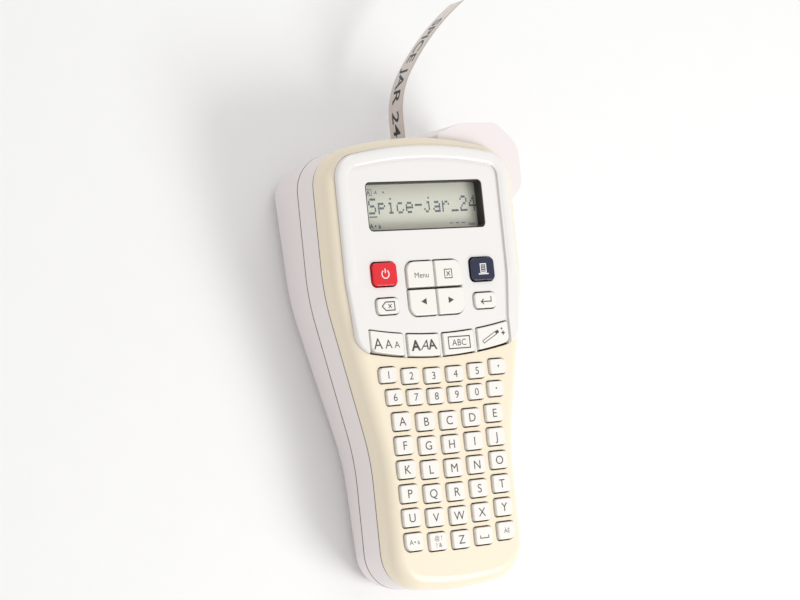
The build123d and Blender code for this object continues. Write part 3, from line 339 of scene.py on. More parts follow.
FINISHES: dict[str, Finish] = {
    f.name: f
    for f in (
        Finish("cream_plastic", (0.90, 0.805, 0.64), (0.88, 0.78, 0.61), 0.32, 0.05, coat=0.15),
        Finish("white_plastic", (0.88, 0.82, 0.82), (0.85, 0.79, 0.79), 0.34, 0.05, coat=0.1),
        Finish("bezel_plastic", (0.87, 0.85, 0.83), (0.84, 0.82, 0.80), 0.18, 0.04, height=0.04, coat=0.5),
        Finish("key_plastic", (0.90, 0.87, 0.83), (0.87, 0.84, 0.79), 0.30, 0.05, height=0.08, coat=0.2),
        Finish("red_plastic", (0.88, 0.008, 0.018), (0.68, 0.008, 0.02), 0.2, 0.04, height=0.05, coat=0.5),
        Finish("navy_plastic", (0.010, 0.015, 0.055), (0.007, 0.011, 0.04), 0.2, 0.04, height=0.05, coat=0.5),
        Finish("dark_frame", (0.030, 0.024, 0.019), (0.020, 0.017, 0.014), 0.5),
        Finish("clear_lens", (0.9, 0.92, 0.9), (0.8, 0.84, 0.8), 0.06, 0.02, height=0.0, alpha=0.06),
        Finish("lcd_face", (0.72, 0.72, 0.61), (0.68, 0.68, 0.575), 0.35, 0.05, Pattern.SCREEN, height=0.0),
        Finish("mat_rubber", (0.16, 0.12, 0.08), (0.13, 0.10, 0.07), 0.7, 0.1),
        Finish("board_green", (0.015, 0.10, 0.04), (0.05, 0.25, 0.10), 0.35, 0.1, Pattern.BOARD),
        Finish("steel", (0.56, 0.56, 0.57), (0.40, 0.40, 0.42), 0.32, 0.1, Pattern.BRUSHED, metallic=1.0),
        Finish("gear_plastic", (0.80, 0.79, 0.72), (0.74, 0.72, 0.65), 0.45),
        Finish("brass", (0.70, 0.48, 0.18), (0.55, 0.36, 0.12), 0.3, 0.1, Pattern.BRUSHED, metallic=1.0),
        Finish("aluminium", (0.70, 0.71, 0.73), (0.58, 0.59, 0.61), 0.35, 0.1, Pattern.BRUSHED, metallic=1.0),
        Finish("ceramic", (0.72, 0.66, 0.52), (0.64, 0.58, 0.45), 0.25, 0.05),
        Finish("cable_film", (0.62, 0.30, 0.04), (0.30, 0.12, 0.02), 0.3, 0.06, Pattern.STRIPES),
        Finish("cassette_plastic", (0.05, 0.05, 0.06), (0.035, 0.035, 0.045), 0.42),
        Finish("spool_plastic", (0.03, 0.03, 0.03), (0.02, 0.02, 0.02), 0.5),
        Finish("label_film", (0.66, 0.58, 0.53), (0.62, 0.54, 0.49), 0.28, 0.05, height=0.03, coat=0.3),
        Finish("cell_wrap", (0.02, 0.02, 0.025), (0.45, 0.26, 0.07), 0.25, 0.06, Pattern.BANDS, coat=0.4),
        Finish("legend_ink", (0.075, 0.068, 0.07), (0.055, 0.05, 0.052), 0.6),
        Finish("white_ink", (0.90, 0.90, 0.90), (0.82, 0.82, 0.82), 0.4),
        Finish("lcd_ink", (0.030, 0.070, 0.12), (0.02, 0.05, 0.09), 0.6, height=0.0),
        Finish("print_ink", (0.020, 0.018, 0.018), (0.012, 0.012, 0.012), 0.4),
        # Painted shade: near-black for the skirts that darken the gaps round the key caps.
        Finish("gap_shade_dark", (0.075, 0.058, 0.040), (0.06, 0.047, 0.033), 0.7),
        # Painted shade for the dark strips in the housing's seam gaps.
        Finish("seam_shade", (0.16, 0.125, 0.10), (0.12, 0.09, 0.07), 0.8),
        Finish("floor", (0.93, 0.93, 0.93), (0.91, 0.91, 0.91), 0.7, 0.1, scale=60.0, height=0.02),
    )
}


# ---------------------------------------------------------------- building
class Piece:
    """A mesh in the making, in keypad millimetres."""

    def __init__(self, name: str, face: FaceFrame, groups: NodeGroups) -> None:
        self.name = name
        self.face = face
        self.groups = groups
        self.bm = bmesh.new()

    def finish(
        self, body: str, finish: str, slot: str | None = None, replaces: tuple[str, ...] = ()
    ) -> bpy.types.Object:
        """Makes the object and gives it its body and finish.

        Args:
            body: The CAD body it moves with.
            finish: The finish's name.
            slot: Not used.
            replaces: CAD nodes it stands for.

        Returns:
            The object, at the origin.
        """
        mesh = bpy.data.meshes.new(self.name)
        bmesh.ops.transform(self.bm, matrix=self.face.matrix, verts=self.bm.verts)
        self.bm.to_mesh(mesh)
        self.bm.free()
        mesh.materials.append(FINISHES[finish].material(self.groups))
        piece = bpy.data.objects.new(self.name, mesh)
        bpy.context.scene.collection.objects.link(piece)
        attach(piece, body)
        if isinstance(self, Solid):
            piece.modifiers.new("even_shading", "WEIGHTED_NORMAL").keep_sharp = True
        if replaces:
            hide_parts(*replaces)
        LOG.info("%s: %d faces on %s", self.name, len(mesh.polygons), body)
        return piece


class Solid(Piece):
    """A piece made of rounded prisms."""

    def prism(self, outline: list[Vector], low: float, high: float, grow: float = 0.0, edge: float = 0.0) -> None:
        """Adds a prism with a softened upper edge.

        Args:
            outline: Its plan at the top, in order.
            low: Underside z.
            high: Top z.
            grow: How far the foot is wider than the top, on each side.
            edge: Radius of the upper edge.
        """
        points = outline if _area(outline) > 0 else outline[::-1]
        levels = [(grow, low)]
        for k in range(5):
            turn = math.pi / 8 * k
            levels.append((-edge * (1 - math.cos(turn)), high - edge * (1 - math.sin(turn))))
        rings = []
        for reach, z in levels if edge else levels[:1] + levels[-1:]:
            rings.append([self.bm.verts.new((*p, z)) for p in _offset(points, reach)])
        for lower, upper in zip(rings, rings[1:]):
            for i, vert in enumerate(lower):
                j = (i + 1) % len(lower)
                self.bm.faces.new((vert, lower[j], upper[j], upper[i]))
        self.bm.faces.new(rings[-1])
        self.bm.faces.new(rings[0][::-1])
        self.close()

    def block(self, centre: tuple[float, float, float], size: tuple[float, float, float]) -> None:
        """Adds a box."""
        place = Matrix.Translation(centre) @ Matrix.Diagonal((*size, 1))
        bmesh.ops.create_cube(self.bm, size=1, matrix=place)

    def stem(self, centre: tuple[float, float, float], radius: float, depth: float) -> None:
        """Adds a round stem along z."""
        place = Matrix.Translation(centre)
        bmesh.ops.create_cone(
            self.bm, cap_ends=True, segments=16, radius1=radius, radius2=radius, depth=depth, matrix=place
        )

    def close(self) -> None:
        """Points the faces outwards, shades the bends smoothly and keeps the sharp ones."""
        bmesh.ops.recalc_face_normals(self.bm, faces=self.bm.faces)
        for face in self.bm.faces:
            face.smooth = True
        for edge in self.bm.edges:
            if len(edge.link_faces) == 2:
                edge.smooth = edge.calc_face_angle() < math.radians(35)


def _offset(points: list[Vector], reach: float) -> list[Vector]:
    """A counter-clockwise outline moved outwards, in plan."""
    moved = []
    for i, point in enumerate(points):
        before, after = points[i - 1], points[(i + 1) % len(points)]
        into = Vector((point.x - before.x, point.y - before.y)).normalized()
        away = Vector((after.x - point.x, after.y - point.y)).normalized()
        first, second = Vector((into.y, -into.x)), Vector((away.y, -away.x))
        normal = (first + second).normalized()
        moved.append(Vector((point.x, point.y)) + normal * (reach / max(normal.dot(first), 0.5)))
    return moved


def _area(points: list[Vector]) -> float:
    """Signed area of a plan outline."""
    return sum(a.x * b.y - b.x * a.y for a, b in zip(points, points[1:] + points[:1])) / 2


@dataclass(frozen=True)
class Label:
    """One line of text.

    Args:
        text: What it says.
        height: Height of its capitals, in millimetres.
        lean: Slant of its letters.
        bold: How much its strokes are thickened.
    """

    text: str
    height: float
    lean: float = 0.0
    bold: float = 0.0


class Ink(Piece):
    """Flat print, in keypad millimetres, all at one height."""

    def __init__(self, name: str, face: FaceFrame, groups: NodeGroups, height: float) -> None:
        super().__init__(name, face, groups)
        self.height = height

    def text(self, label: Label, x: float, y: float, align: Align = Align.CENTRE) -> None:
        """Adds a line of text, its middle height at y."""
        curve = bpy.data.curves.new("line", "FONT")
        curve.body = label.text
        curve.size = label.height / 0.7
        curve.shear = label.lean
        curve.offset = label.bold
        curve.align_x = align.value
        curve.resolution_u = 4
        holder = bpy.data.objects.new("line", curve)
        bpy.context.scene.collection.objects.link(holder)
        bpy.context.view_layer.update()
        evaluated = holder.evaluated_get(bpy.context.evaluated_depsgraph_get())
        mesh = bpy.data.meshes.new_from_object(evaluated)
        mesh.transform(Matrix.Translation((x, y - label.height / 2, self.height)))
        self.bm.from_mesh(mesh)
        bpy.data.objects.remove(holder)
        bpy.data.curves.remove(curve)
        bpy.data.meshes.remove(mesh)

    def polygon(self, points: list[tuple[float, float]]) -> None:
        """Adds a filled outline."""
        plan = [Vector((x, y, self.height)) for x, y in points]
        if _area(plan) < 0:
            plan.reverse()
        self.bm.faces.new([self.bm.verts.new(p) for p in plan])

    def stroke(self, points: list[tuple[float, float]], width: float, closed: bool = False) -> None:
        """Adds a line of even width.

        Args:
            points: Its corners.
            width: How wide it is.
            closed: True if it comes back to its start.
        """
        line = [Vector(p) for p in points]
        count = len(line)
        sides: list[tuple[bmesh.types.BMVert, bmesh.types.BMVert]] = []
        for i, point in enumerate(line):
            before = line[i - 1] if closed or i else None
            after = line[(i + 1) % count] if closed or i < count - 1 else None
            ways = [(point - before).normalized()] if before is not None else []
            ways += [(after - point).normalized()] if after is not None else []
            way = sum(ways, Vector((0, 0))).normalized()
            reach = width / 2 / max(way.dot(ways[0]), 0.4)
            across = Vector((-way.y, way.x)) * reach
            left = self.bm.verts.new((*(point + across), self.height))
            right = self.bm.verts.new((*(point - across), self.height))
            sides.append((left, right))
        pairs = list(zip(sides, sides[1:]))
        if closed:
            pairs.append((sides[-1], sides[0]))
        for (a, b), (c, d) in pairs:
            self.bm.faces.new((a, b, d, c))

    def arc(self, x: float, y: float, radius: float, start: float, stop: float, width: float) -> None:
        """Adds a round line from one angle to another, in degrees."""
        steps = 20
        turns = [math.radians(start + (stop - start) * i / steps) for i in range(steps + 1)]
        self.stroke([(x + radius * math.cos(t), y + radius * math.sin(t)) for t in turns], width)

    def disc(self, x: float, y: float, radius: float) -> None:
        """Adds a dot."""
        turns = [math.tau * i / 12 for i in range(12)]
        self.polygon([(x + radius * math.cos(t), y + radius * math.sin(t)) for t in turns])


# ---------------------------------------------------------------- keys
@dataclass
class Keys:
    """All the keys and buttons, with their legends."""

    outlines: CadOutlines
    groups: NodeGroups
    flange_top: float = -3.5
    flange_depth: float = 0.9
    flange_reach: float = 0.7
    stem_radius: float = 1.6
    stem_depth: float = 1.6
    draft: float = 0.25
    clear: float = 0.1
    soft_edge: float = 0.38
    lift: float = 0.02
    letter_height: float = 3.9
    rows: dict[str, list[str]] = field(
        default_factory=lambda: {
            "number_row_1": list("12345,"),
            "number_row_2": list("67890."),
            "letter_row_1": list("ABCDE"),
            "letter_row_2": list("FGHIJ"),
            "letter_row_3": list("KLMNO"),
            "letter_row_4": list("PQRST"),
            "letter_row_5": list("UVWXY"),
            "letter_row_6": ["", "", "Z", "", ""],
        }
    )

    def build(self) -> None:
        """Builds every row, button and legend."""
        for node, legends in self.rows.items():
            places = self.caps(node, "key_plastic", webs=True)
            self.row_legends(node, legends, places)
        icons = KeyIcons(self)
        for node, (finish, ink, draw) in icons.table().items():
            places = self.caps(node, finish)
            sheet = self.ink(node)
            draw(sheet, *places[0])
            sheet.finish(node, ink)

    def ink(self, node: str) -> Ink:
        """An empty ink layer just above a node's top."""
        height = self.outlines.heights(node)[1] + self.lift
        return Ink(f"{node}_legend", self.outlines.face, self.groups, height)

    def shade_skirts(
        self, node: str, places: list[tuple[float, float]], sizes: list[tuple[float, float]], webs: bool
    ) -> None:
        """Builds the dark skirts, stems and webs under one node's caps: painted shade that darkens the gaps round
        the caps.

        Args:
            node: The CAD node, which is also its body's name.
            places: The middle of each cap.
            sizes: Width and length of each skirt.
            webs: True if webs join the skirts into a strip.
        """
        piece = Solid(f"{node}_skirts", self.outlines.face, self.groups)
        middle = self.flange_top - self.flange_depth / 2
        for (x, y), size in zip(places, sizes):
            piece.block((x, y, middle), (*size, self.flange_depth))
            piece.stem((x, y, middle - (self.flange_depth + self.stem_depth) / 2), self.stem_radius, self.stem_depth)
        if webs:
            for (x0, y0), (x1, y1) in zip(places, places[1:]):
                piece.block(((x0 + x1) / 2, (y0 + y1) / 2, middle), (x1 - x0, 2, self.flange_depth * 0.9))
        # Dark finish: the skirts are painted shade in the gaps round the caps.
        piece.finish(node, "gap_shade_dark")

    def caps(self, node: str, finish: str, webs: bool = False) -> list[tuple[float, float]]:
        """Builds the caps of one CAD node, and the dark skirts of painted shade under them.

        Args:
            node: The CAD node, which is also its body's name.
            finish: Its finish.
            webs: True if webs join the caps into a strip.

        Returns:
            The middle of each cap, from left to right.
        """
        piece = Solid(f"{node}_caps", self.outlines.face, self.groups)
        top = self.outlines.heights(node)[1]
        places = []
        sizes = []
        for loop in self.outlines.loops(node):
            xs, ys = [p.x for p in loop], [p.y for p in loop]
            x, y = (min(xs) + max(xs)) / 2, (min(ys) + max(ys)) / 2
            along_x, along_y = 1 - self.clear / (max(xs) - x), 1 - self.clear / (max(ys) - y)
            outline = [Vector((x + (p.x - x) * along_x, y + (p.y - y) * along_y)) for p in loop]
            piece.prism(outline, self.flange_top - 0.05, top, self.draft, self.soft_edge)
            places.append((x, y))
            sizes.append((max(xs) - min(xs) + self.flange_reach, max(ys) - min(ys) + self.flange_reach))
        piece.finish(node, finish, finish, (node,))
        self.shade_skirts(node, places, sizes, webs)
        return places

    def row_legends(self, node: str, legends: list[str], places: list[tuple[float, float]]) -> None:
        """Prints one row's legends.

        Args:
            node: The row.
            legends: One text for each key, empty for a drawn one.
            places: The middle of each key.
        """
        sheet = self.ink(node)
        height = self.letter_height if node.startswith("letter") else self.letter_height * 0.87
        for text, (x, y) in zip(legends, places):
            if text in (",", "."):
                sheet.disc(x, y + 0.2, 0.42)
                if text == ",":
                    sheet.polygon([(x - 0.1, y + 0.1), (x + 0.42, y + 0.2), (x - 0.2, y - 1.0)])
            elif text:
                sheet.text(Label(text, height), x, y)
        if node == "letter_row_6":
            self.last_row(sheet, places)
        sheet.finish(node, "legend_ink")

    def last_row(self, sheet: Ink, places: list[tuple[float, float]]) -> None:
        """Draws the legends of the last row's case, symbol, space and accent keys."""
        (x0, y0), (x1, y1), _, (x3, y3), (x4, y4) = places
        sheet.text(Label("A", 2.2), x0 - 1.9, y0)
        sheet.disc(x0, y0, 0.4)
        sheet.text(Label("a", 2.2), x0 + 1.9, y0)
        sheet.text(Label("@ !", 1.9), x1, y1 + 1.6)
        sheet.text(Label("? &", 1.9), x1, y1 - 1.6)
        sheet.stroke([(x3 - 2.3, y3 + 0.3), (x3 - 2.3, y3 - 1.0), (x3 + 2.3, y3 - 1.0), (x3 + 2.3, y3 + 0.3)], 0.45)
        sheet.text(Label("ÄÉ", 2.0), x4, y4)


@dataclass
class KeyIcons:
    """The drawn legends of the single buttons."""

    keys: Keys
    line: float = 0.52

    def table(self) -> dict:
        """Finish, ink and drawing of each button."""
        grey = ("key_plastic", "legend_ink")
        return {
            "power_button": ("red_plastic", "white_ink", self.power),
            "print_button": ("navy_plastic", "white_ink", self.page),
            "backspace_button": (*grey, self.backspace),
            "enter_button": (*grey, self.enter),
            "menu_button": (*grey, lambda s, x, y: s.text(Label("Menu", 2.5), x + 0.4, y - 0.4)),
            "clear_button": (*grey, self.clear),
            "left_arrow_button": (*grey, lambda s, x, y: self.triangle(s, x, y, -1)),
            "right_arrow_button": (*grey, lambda s, x, y: self.triangle(s, x, y, 1)),
            "size_key": (*grey, self.sizes),
            "font_key": (*grey, self.styles),
            "frame_key": (*grey, self.framed),
            "design_key": (*grey, self.wand),
        }

    def power(self, s: Ink, x: float, y: float) -> None:
        """A broken ring and a bar."""
        s.arc(x, y, 1.9, 125, 415, self.line)
        s.stroke([(x, y + 0.4), (x, y + 2.5)], self.line)

    def page(self, s: Ink, x: float, y: float) -> None:
        """A printed page leaving a slot."""
        s.stroke([(x - 1.5, y + 2.3), (x + 1.5, y + 2.3), (x + 1.5, y - 1.6), (x - 1.5, y - 1.6)], self.line, True)
        for row in range(3):
            s.stroke([(x - 0.9, y + 1.3 - row), (x + 0.9, y + 1.3 - row)], 0.35)
        s.stroke([(x - 2.8, y - 2.3), (x + 2.8, y - 2.3)], self.line)

    def cross(self, s: Ink, x: float, y: float, reach: float) -> None:
        """A small x."""
        s.stroke([(x - reach, y - reach), (x + reach, y + reach)], self.line * 0.8)
        s.stroke([(x - reach, y + reach), (x + reach, y - reach)], self.line * 0.8)

    def backspace(self, s: Ink, x: float, y: float) -> None:
        """A tag that points left, with an x."""
        left, right, low, high = x - 1.6, x + 3.2, y - 1.9, y + 1.9
        s.stroke([(x - 3.5, y), (left, high), (right, high), (right, low), (left, low)], self.line, True)
        self.cross(s, x + 0.7, y, 0.9)

    def enter(self, s: Ink, x: float, y: float) -> None:
        """A return arrow."""
        s.stroke([(x + 3.0, y + 1.7), (x + 3.0, y - 0.6), (x - 2.4, y - 0.6)], self.line)
        s.stroke([(x - 1.2, y + 0.6), (x - 2.6, y - 0.6), (x - 1.2, y - 1.8)], self.line)

    def clear(self, s: Ink, x: float, y: float) -> None:
        """A boxed x."""
        x, y = x - 0.4, y - 0.4
        left, right, low, high = x - 2.0, x + 2.0, y - 2.0, y + 2.0
        s.stroke([(left, low), (right, low), (right, high), (left, high)], self.line * 0.8, True)
        self.cross(s, x, y, 1.0)

    def triangle(self, s: Ink, x: float, y: float, way: int) -> None:
        """A filled arrow head."""
        x, y = x - way * 0.4, y + 0.4
        s.polygon([(x + way * 1.7, y), (x - way * 1.3, y + 1.5), (x - way * 1.3, y - 1.5)])

    def sizes(self, s: Ink, x: float, y: float) -> None:
        """Three capitals that get smaller."""
        for step, height in ((-5.2, 5.0), (0.4, 4.0), (4.9, 3.0)):
            s.text(Label("A", height), x + step, y - (5.0 - height) / 2)

    def styles(self, s: Ink, x: float, y: float) -> None:
        """Three capitals in different styles."""
        s.text(Label("A", 4.6, bold=0.22), x - 4.6, y)
        s.text(Label("A", 4.6, lean=0.35), x, y)
        s.text(Label("A", 4.6, bold=0.12, lean=-0.1), x + 4.6, y)

    def framed(self, s: Ink, x: float, y: float) -> None:
        """ABC in a frame."""
        s.text(Label("ABC", 2.9), x, y)
        s.stroke([(x - 5.9, y - 2.7), (x + 5.9, y - 2.7), (x + 5.9, y + 2.7), (x - 5.9, y + 2.7)], self.line, True)

    def wand(self, s: Ink, x: float, y: float) -> None:
        """A wand with sparks at its tip."""
        stick = [(x - 6.4, y - 2.2), (x - 5.7, y - 3.3), (x + 1.7, y + 0.5), (x + 1.1, y + 1.7)]
        s.stroke(stick, self.line * 0.7, True)
        s.stroke([(x + 1.4, y + 1.1), (x + 3.0, y + 1.9)], 1.5)
        for dx, dy, reach in ((5.6, 0.9, 1.0), (4.9, 2.9, 0.6)):
            s.stroke([(x + dx - reach, y + dy), (x + dx + reach, y + dy)], reach * 0.6)
            s.stroke([(x + dx, y + dy - reach), (x + dx, y + dy + reach)], reach * 0.6)


# ---------------------------------------------------------------- display
GLYPHS = {
    "S": "01111 10000 10000 01110 00001 00001 11110",
    "p": "00000 00000 11110 10001 11110 10000 10000",
    "i": "00100 00000 01100 00100 00100 00100 01110",
    "c": "00000 00000 01110 10000 10000 10001 01110",
    "e": "00000 00000 01110 10001 11111 10000 01110",
    "-": "00000 00000 00000 11111 00000 00000 00000",
    "j": "00010 00000 00110 00010 00010 10010 01100",
    "a": "00000 00000 01110 00001 01111 10001 01111",
    "r": "00000 00000 10110 11001 10000 10000 10000",
    "_": "00000 00000 00000 00000 00000 00000 11111",
    "2": "01110 10001 00001 00110 01000 10000 11111",
    "4": "00010 00110 01010 10010 11111 00010 00010",
}


@dataclass
class Display:
    """What the display shows: a dot-matrix line with small marks round it."""

    outlines: CadOutlines
    groups: NodeGroups
    message: str = "Spice-jar_24"
    dot: float = 0.80
    dot_height: float = 1.05
    dot_gap: float = 0.07
    advance: float = 5.05
    left: float = -27.1
    top: float = 76.0
    lift: float = 0.03

    def build(self) -> None:
        """Builds the marks on the display panel."""
        height = self.outlines.heights("lcd_panel")[1] + self.lift
        sheet = Ink("display_marks", self.outlines.face, self.groups, height)
        for place, letter in enumerate(self.message):
            self.glyph(sheet, GLYPHS[letter], self.left + place * self.advance)
        foot = self.top - 8.1 * self.dot_height
        sheet.stroke([(self.left - 0.2, foot), (self.left + 4.2, foot)], 0.5)
        for place, size in ((-26.6, 1.9), (-22.6, 1.5), (-18.4, 1.1)):
            sheet.text(Label("A", size, bold=0.04), place, 78.7)
        sheet.stroke([(-28.3, 77.3), (-24.9, 77.3), (-24.9, 80.1), (-28.3, 80.1)], 0.22, True)
        sheet.text(Label("A", 2.1, bold=0.06), -26.6, 63.3)
        sheet.disc(-24.4, 63.3, 0.45)
        sheet.text(Label("a", 2.1, bold=0.06), -22.2, 63.3)
        for step in range(3):
            sheet.stroke([(16.6 + step * 3.4, 63.4), (18.4 + step * 3.4, 63.4)], 0.35)
        sheet.text(Label("mm", 1.7, bold=0.04), 29.0, 62.9)
        sheet.finish("housing", "lcd_ink")

    def glyph(self, sheet: Ink, rows: str, x: float) -> None:
        """Lays out one character's dots."""
        side = self.dot - self.dot_gap
        for j, row in enumerate(rows.split()):
            for i, mark in enumerate(row):
                if mark == "1":
                    px, py = x + i * self.dot, self.top - j * self.dot_height
                    foot = py - self.dot_height + self.dot_gap
                    sheet.polygon([(px, py), (px + side, py), (px + side, foot), (px, foot)])


# ---------------------------------------------------------------- bezel, lever, tape
@dataclass
class BezelRim:
    """The softly rounded crown that runs round the bezel's sides and top."""

    outlines: CadOutlines
    groups: NodeGroups
    width: float = 6.0
    rise: float = 0.75
    sink: float = 0.9
    level: float = -0.5
    steps: int = 10

    def build(self) -> None:
        """Sweeps the crown's section along the bezel's outer edge."""
        line = self.edge_line()
        piece = Solid("bezel_crown", self.outlines.face, self.groups)
        top = self.outlines.heights("display_bezel")[1]
        rings = [self.section(piece, line, i, top) for i in range(len(line))]
        for before, after in zip(rings, rings[1:]):
            for k, start in enumerate(before):
                following = (k + 1) % len(before)
                piece.bm.faces.new((start, before[following], after[following], after[k]))
        piece.bm.faces.new(rings[0])
        piece.bm.faces.new(rings[-1][::-1])
        piece.close()
        piece.finish("housing", "bezel_plastic", "bezel_plastic")

    def edge_line(self) -> list[Vector]:
        """The bezel's outer edge, in order from its left foot over the top to its right foot."""
        matrix = self.outlines.face.matrix.inverted()
        found = [matrix @ v.co for v in self.outlines.nodes["display_bezel"].data.vertices]
        edge = {(round(p.x, 2), round(p.y, 2)) for p in found if abs(p.z - self.level) < 0.03}
        kept = [Vector((x, y)) for x, y in edge if y > 15.5]
        middle = Vector((0, 55))
        kept.sort(key=lambda p: math.atan2(p.x - middle.x, p.y - middle.y))
        return self.resampled(kept, 2.0)

    def resampled(self, line: list[Vector], step: float) -> list[Vector]:
        """The same line with evenly spaced points."""
        lengths = [0.0]
        for a, b in zip(line, line[1:]):
            lengths.append(lengths[-1] + (b - a).length)
        count = int(lengths[-1] / step)
        points = []
        place = 0
        for i in range(count + 1):
            wanted = lengths[-1] * i / count
            while place < len(line) - 2 and lengths[place + 1] < wanted:
                place += 1
            share = (wanted - lengths[place]) / max(lengths[place + 1] - lengths[place], 1e-6)
            points.append(line[place].lerp(line[place + 1], share))
        return points

    def section(self, piece: Piece, line: list[Vector], i: int, top: float) -> list[bmesh.types.BMVert]:
        """The section's vertices at one point of the line.

        Args:
            piece: The piece they go into.
            line: The bezel's outer edge.
            i: Which point.
            top: The CAD rim's top z.

        Returns:
            The vertices, in order round the section.
        """
        before, after = line[max(i - 1, 0)], line[min(i + 1, len(line) - 1)]
        way = (after - before).normalized()
        inward = Vector((way.y, -way.x))
        fade = min(1.0, 0.25 + 0.75 * min(i, len(line) - 1 - i) / 3)
        verts = []
        for k in range(self.steps + 1):
            turn = math.pi * k / self.steps
            across = 0.25 + self.width * (1 - math.cos(turn)) / 2
            height = top - self.sink + (self.sink + self.rise * fade - 0.35) * math.sin(turn) ** 0.7
            verts.append(piece.bm.verts.new((*(line[i] + inward * across), height)))
        return verts


@dataclass
class SeamShades:
    """Dark strips of painted shade in the gaps where the white middle ring meets the cream front and the rear cover.
    """

    outlines: CadOutlines
    groups: NodeGroups
    proud: float = 0.03
    inside: float = 0.5
    level: float = -12.3
    bands: dict[str, tuple[float, float]] = field(
        default_factory=lambda: {"front_seam": (-13.5, -12.05), "rear_seam": (-27.25, -26.7)}
    )

    def build(self) -> None:
        """Builds both strips of painted shade."""
        edge = self.outer_edge("mid_housing")
        for name, (low, high) in self.bands.items():
            piece = Solid(name, self.outlines.face, self.groups)
            outer, inner = _offset(edge, self.proud), _offset(edge, -self.inside)
            rings = []
            for a, b in zip(outer, inner):
                corners = [(b, low), (a, low), (a, high), (b, high)]
                rings.append([piece.bm.verts.new((p.x, p.y, z)) for p, z in corners])
            for i, ring in enumerate(rings):
                following = rings[(i + 1) % len(rings)]
                for k in range(4):
                    m = (k + 1) % 4
                    piece.bm.faces.new((ring[k], ring[m], following[m], following[k]))
            piece.close()
            piece.finish("housing", "seam_shade")

    def outer_edge(self, node: str) -> list[Vector]:
        """A node's outermost points at the seam's level, counter-clockwise.

        Args:
            node: The CAD node.

        Returns:
            Plan points.
        """
        loop = max(self.outlines.loops(node, self.level), key=lambda points: abs(_area(points)))
        if _area(loop) < 0:
            loop.reverse()
        kept = []
        for i, point in enumerate(loop):
            way = loop[(i + 1) % len(loop)] - loop[i - 1]
            axis_y = max(-80.0, min(80.0, point.y))
            if way.y * point.x - way.x * (point.y - axis_y) > 0:
                kept.append(point)
        return kept


@dataclass
class LeverRibs:
    """Raised grip ribs down the outer face of the cutter lever."""

    outlines: CadOutlines
    groups: NodeGroups
    count: int = 7
    pitch: float = 2.2
    depth: float = 0.5
    first_y: float = 84.0
    side_x: float = 61.8
    low: float = -35.0
    high: float = -14.0

    def build(self) -> None:
        """Builds the ribs as one piece."""
        piece = Solid("lever_ribs", self.outlines.face, self.groups)
        length = self.high - self.low
        for i in range(self.count):
            y = self.first_y + i * self.pitch * 0.8
            turn = Matrix.Translation((self.side_x, y, (self.high + self.low) / 2))
            bmesh.ops.create_cone(
                piece.bm,
                cap_ends=True,
                segments=10,
                radius1=self.depth,
                radius2=self.depth,
                depth=length,
                matrix=turn,
            )
        piece.close()
        piece.finish("lever", "white_plastic", "white_plastic")


@dataclass
class PrintedTape:
    """The clear film over the printed label, and the print itself."""

    outlines: CadOutlines
    groups: NodeGroups
    x: float = 9.85
    start_y: float = 103.0
    straight_end: float = 115.5
    arcs: tuple[tuple[float, float], ...] = ((40.0, 35.0), (136.5, 20.6))
    middle_z: float = -32.5
    width: float = 11.6
    film_offset: float = 0.19
    film_depth: float = 0.05
    margin: float = 13.0
    message: Label = Label("SPICE JAR 24", 5.6, bold=0.12)

    @property
    def length(self) -> float:
        """Length of the label outside the housing."""
        return self.straight_end - self.start_y + sum(r * math.radians(a) for r, a in self.arcs)

    def at(self, s: float, offset: float) -> Vector:
        """Plan point at a length along the label, set off towards its printed side."""
        here = Vector((self.x, self.start_y))
        heading = 0.0
        straight = self.straight_end - self.start_y
        run = min(s, straight)
        here.y += run
        s -= run
        for radius, angle in self.arcs:
            turn = min(s / radius, math.radians(angle))
            here.x += radius * (math.cos(heading) - math.cos(heading + turn))
            here.y += radius * (math.sin(heading + turn) - math.sin(heading))
            heading += turn
            s -= turn * radius
        return here + Vector((-math.cos(heading), math.sin(heading))) * offset

    def build(self) -> None:
        """Builds the film and the print."""
        self.film()
        sheet = Ink("label_print", self.outlines.face, self.groups, 0.0)
        sheet.text(self.message, 0.0, 0.0, Align.LEFT)
        reach = max(v.co.x for v in sheet.bm.verts)
        for step in range(1, int(reach)):
            geometry = list(sheet.bm.verts) + list(sheet.bm.edges) + list(sheet.bm.faces)
            bmesh.ops.bisect_plane(sheet.bm, geom=geometry, plane_co=(step, 0, 0), plane_no=(1, 0, 0))
        surface = self.film_offset + self.film_depth + 0.02
        stretch = (self.length - self.margin - 5.0) / reach
        for vert in sheet.bm.verts:
            place = self.at(self.length - self.margin - vert.co.x * stretch, surface)
            vert.co = Vector((place.x, place.y, self.middle_z + vert.co.y))
        sheet.finish("cassette", "print_ink")

    def film(self) -> None:
        """Builds the clear film's strip."""
        piece = Solid("label_film_strip", self.outlines.face, self.groups)
        rings = []
        count = 60
        for i in range(count + 1):
            s = self.length * i / count
            inner, outer = self.at(s, self.film_offset), self.at(s, self.film_offset + self.film_depth)
            low, high = self.middle_z - self.width / 2, self.middle_z + self.width / 2
            corners = [(inner, low), (outer, low), (outer, high), (inner, high)]
            rings.append([piece.bm.verts.new((p.x, p.y, z)) for p, z in corners])
        for before, after in zip(rings, rings[1:]):
            for k in range(4):
                m = (k + 1) % 4
                piece.bm.faces.new((before[k], before[m], after[m], after[k]))
        piece.bm.faces.new(rings[0][::-1])
        piece.bm.faces.new(rings[-1])
        piece.close()
        piece.finish("cassette", "label_film", "label_film")


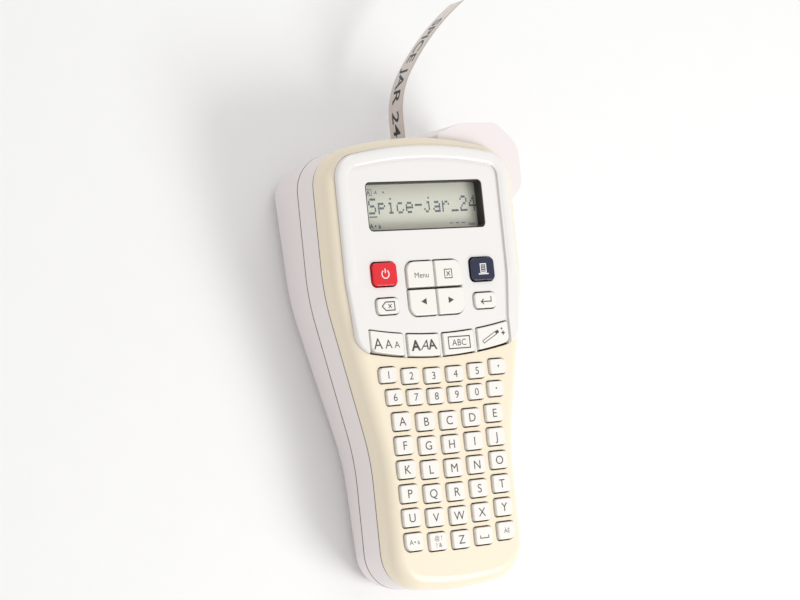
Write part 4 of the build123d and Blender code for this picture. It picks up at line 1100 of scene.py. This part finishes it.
# ---------------------------------------------------------------- stage
@dataclass
class Stage:
    """Floor, lights and camera."""

    face: FaceFrame
    groups: NodeGroups
    eye: tuple[float, float, float] = (-629.55, -40.89, 919.76)
    forward: tuple[float, float, float] = (0.55133723, 0.06284835, -0.83191186)
    up: tuple[float, float, float] = (0.05107058, 0.99274596, 0.10884514)
    lens: float = 110.25
    sky: float = 0.68

    def build(self) -> None:
        """Sets the stage."""
        self.floor()
        self.world()
        self.area("key_light", (0.50, -0.62, 0.80), 0.5, 6.0)
        self.area("top_light", (0.15, 0.75, 0.95), 0.6, 1.8)
        self.camera()

    def floor(self) -> None:
        """A wide pale floor under the rest face."""
        bm = bmesh.new()
        bmesh.ops.create_grid(bm, x_segments=1, y_segments=1, size=8.0)
        mesh = bpy.data.meshes.new("floor")
        bm.to_mesh(mesh)
        bm.free()
        mesh.materials.append(FINISHES["floor"].material(self.groups))
        floor = bpy.data.objects.new("floor", mesh)
        bpy.context.scene.collection.objects.link(floor)

    def world(self) -> None:
        """Soft white light from all round."""
        world = bpy.data.worlds.new("studio")
        world.use_nodes = True
        background = world.node_tree.nodes["Background"]
        background.inputs["Color"].default_value = (1, 0.995, 0.985, 1)
        background.inputs["Strength"].default_value = self.sky
        bpy.context.scene.world = world
        bpy.context.scene.view_settings.view_transform = "Standard"

    def area(self, name: str, place: tuple[float, float, float], size: float, power: float) -> None:
        """A square soft light that looks at the middle of the part."""
        light = bpy.data.lights.new(name, "AREA")
        light.size = size
        light.energy = power
        lamp = bpy.data.objects.new(name, light)
        lamp.location = place
        lamp.rotation_euler = (-Vector(place)).to_track_quat("-Z", "Y").to_euler()
        bpy.context.scene.collection.objects.link(lamp)

    def camera(self) -> None:
        """The camera, placed against the keypad."""
        lens = bpy.data.cameras.new("camera")
        lens.lens = self.lens
        lens.sensor_width = 36.0
        lens.clip_start = 0.01
        camera = bpy.data.objects.new("camera", lens)
        back = -self.face.turned(Vector(self.forward))
        upward = self.face.turned(Vector(self.up))
        right = upward.cross(back).normalized()
        upward = back.cross(right).normalized()
        turn = Matrix((right, upward, back)).transposed().to_4x4()
        camera.matrix_world = Matrix.Translation(self.face.matrix @ Vector(self.eye)) @ turn
        bpy.context.scene.collection.objects.link(camera)
        bpy.context.scene.camera = camera


def dress_frame(frame: dict, groups: NodeGroups) -> None:
    """Gives every carried-over CAD node its procedural finish."""
    slots = {part["node"]: part["material_slot"] for part in frame["record"]["subparts"]}
    for node, shape in frame["nodes"].items():
        material = FINISHES[slots[node]].material(groups)
        shape.data.materials.clear()
        shape.data.materials.append(material)


def main() -> None:
    """Builds the looks."""
    logging.basicConfig(level=logging.INFO, format="%(name)s %(message)s")
    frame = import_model()
    groups = NodeGroups()
    face = FaceFrame.from_record(frame["record"], "lever_swing", (46.5, 76.0, -19.0))
    outlines = CadOutlines(face, frame["nodes"])
    dress_frame(frame, groups)
    Keys(outlines, groups).build()
    Display(outlines, groups).build()
    BezelRim(outlines, groups).build()
    SeamShades(outlines, groups).build()
    LeverRibs(outlines, groups).build()
    PrintedTape(outlines, groups).build()
    Stage(face, groups).build()


if __name__ == "__main__":
    main()
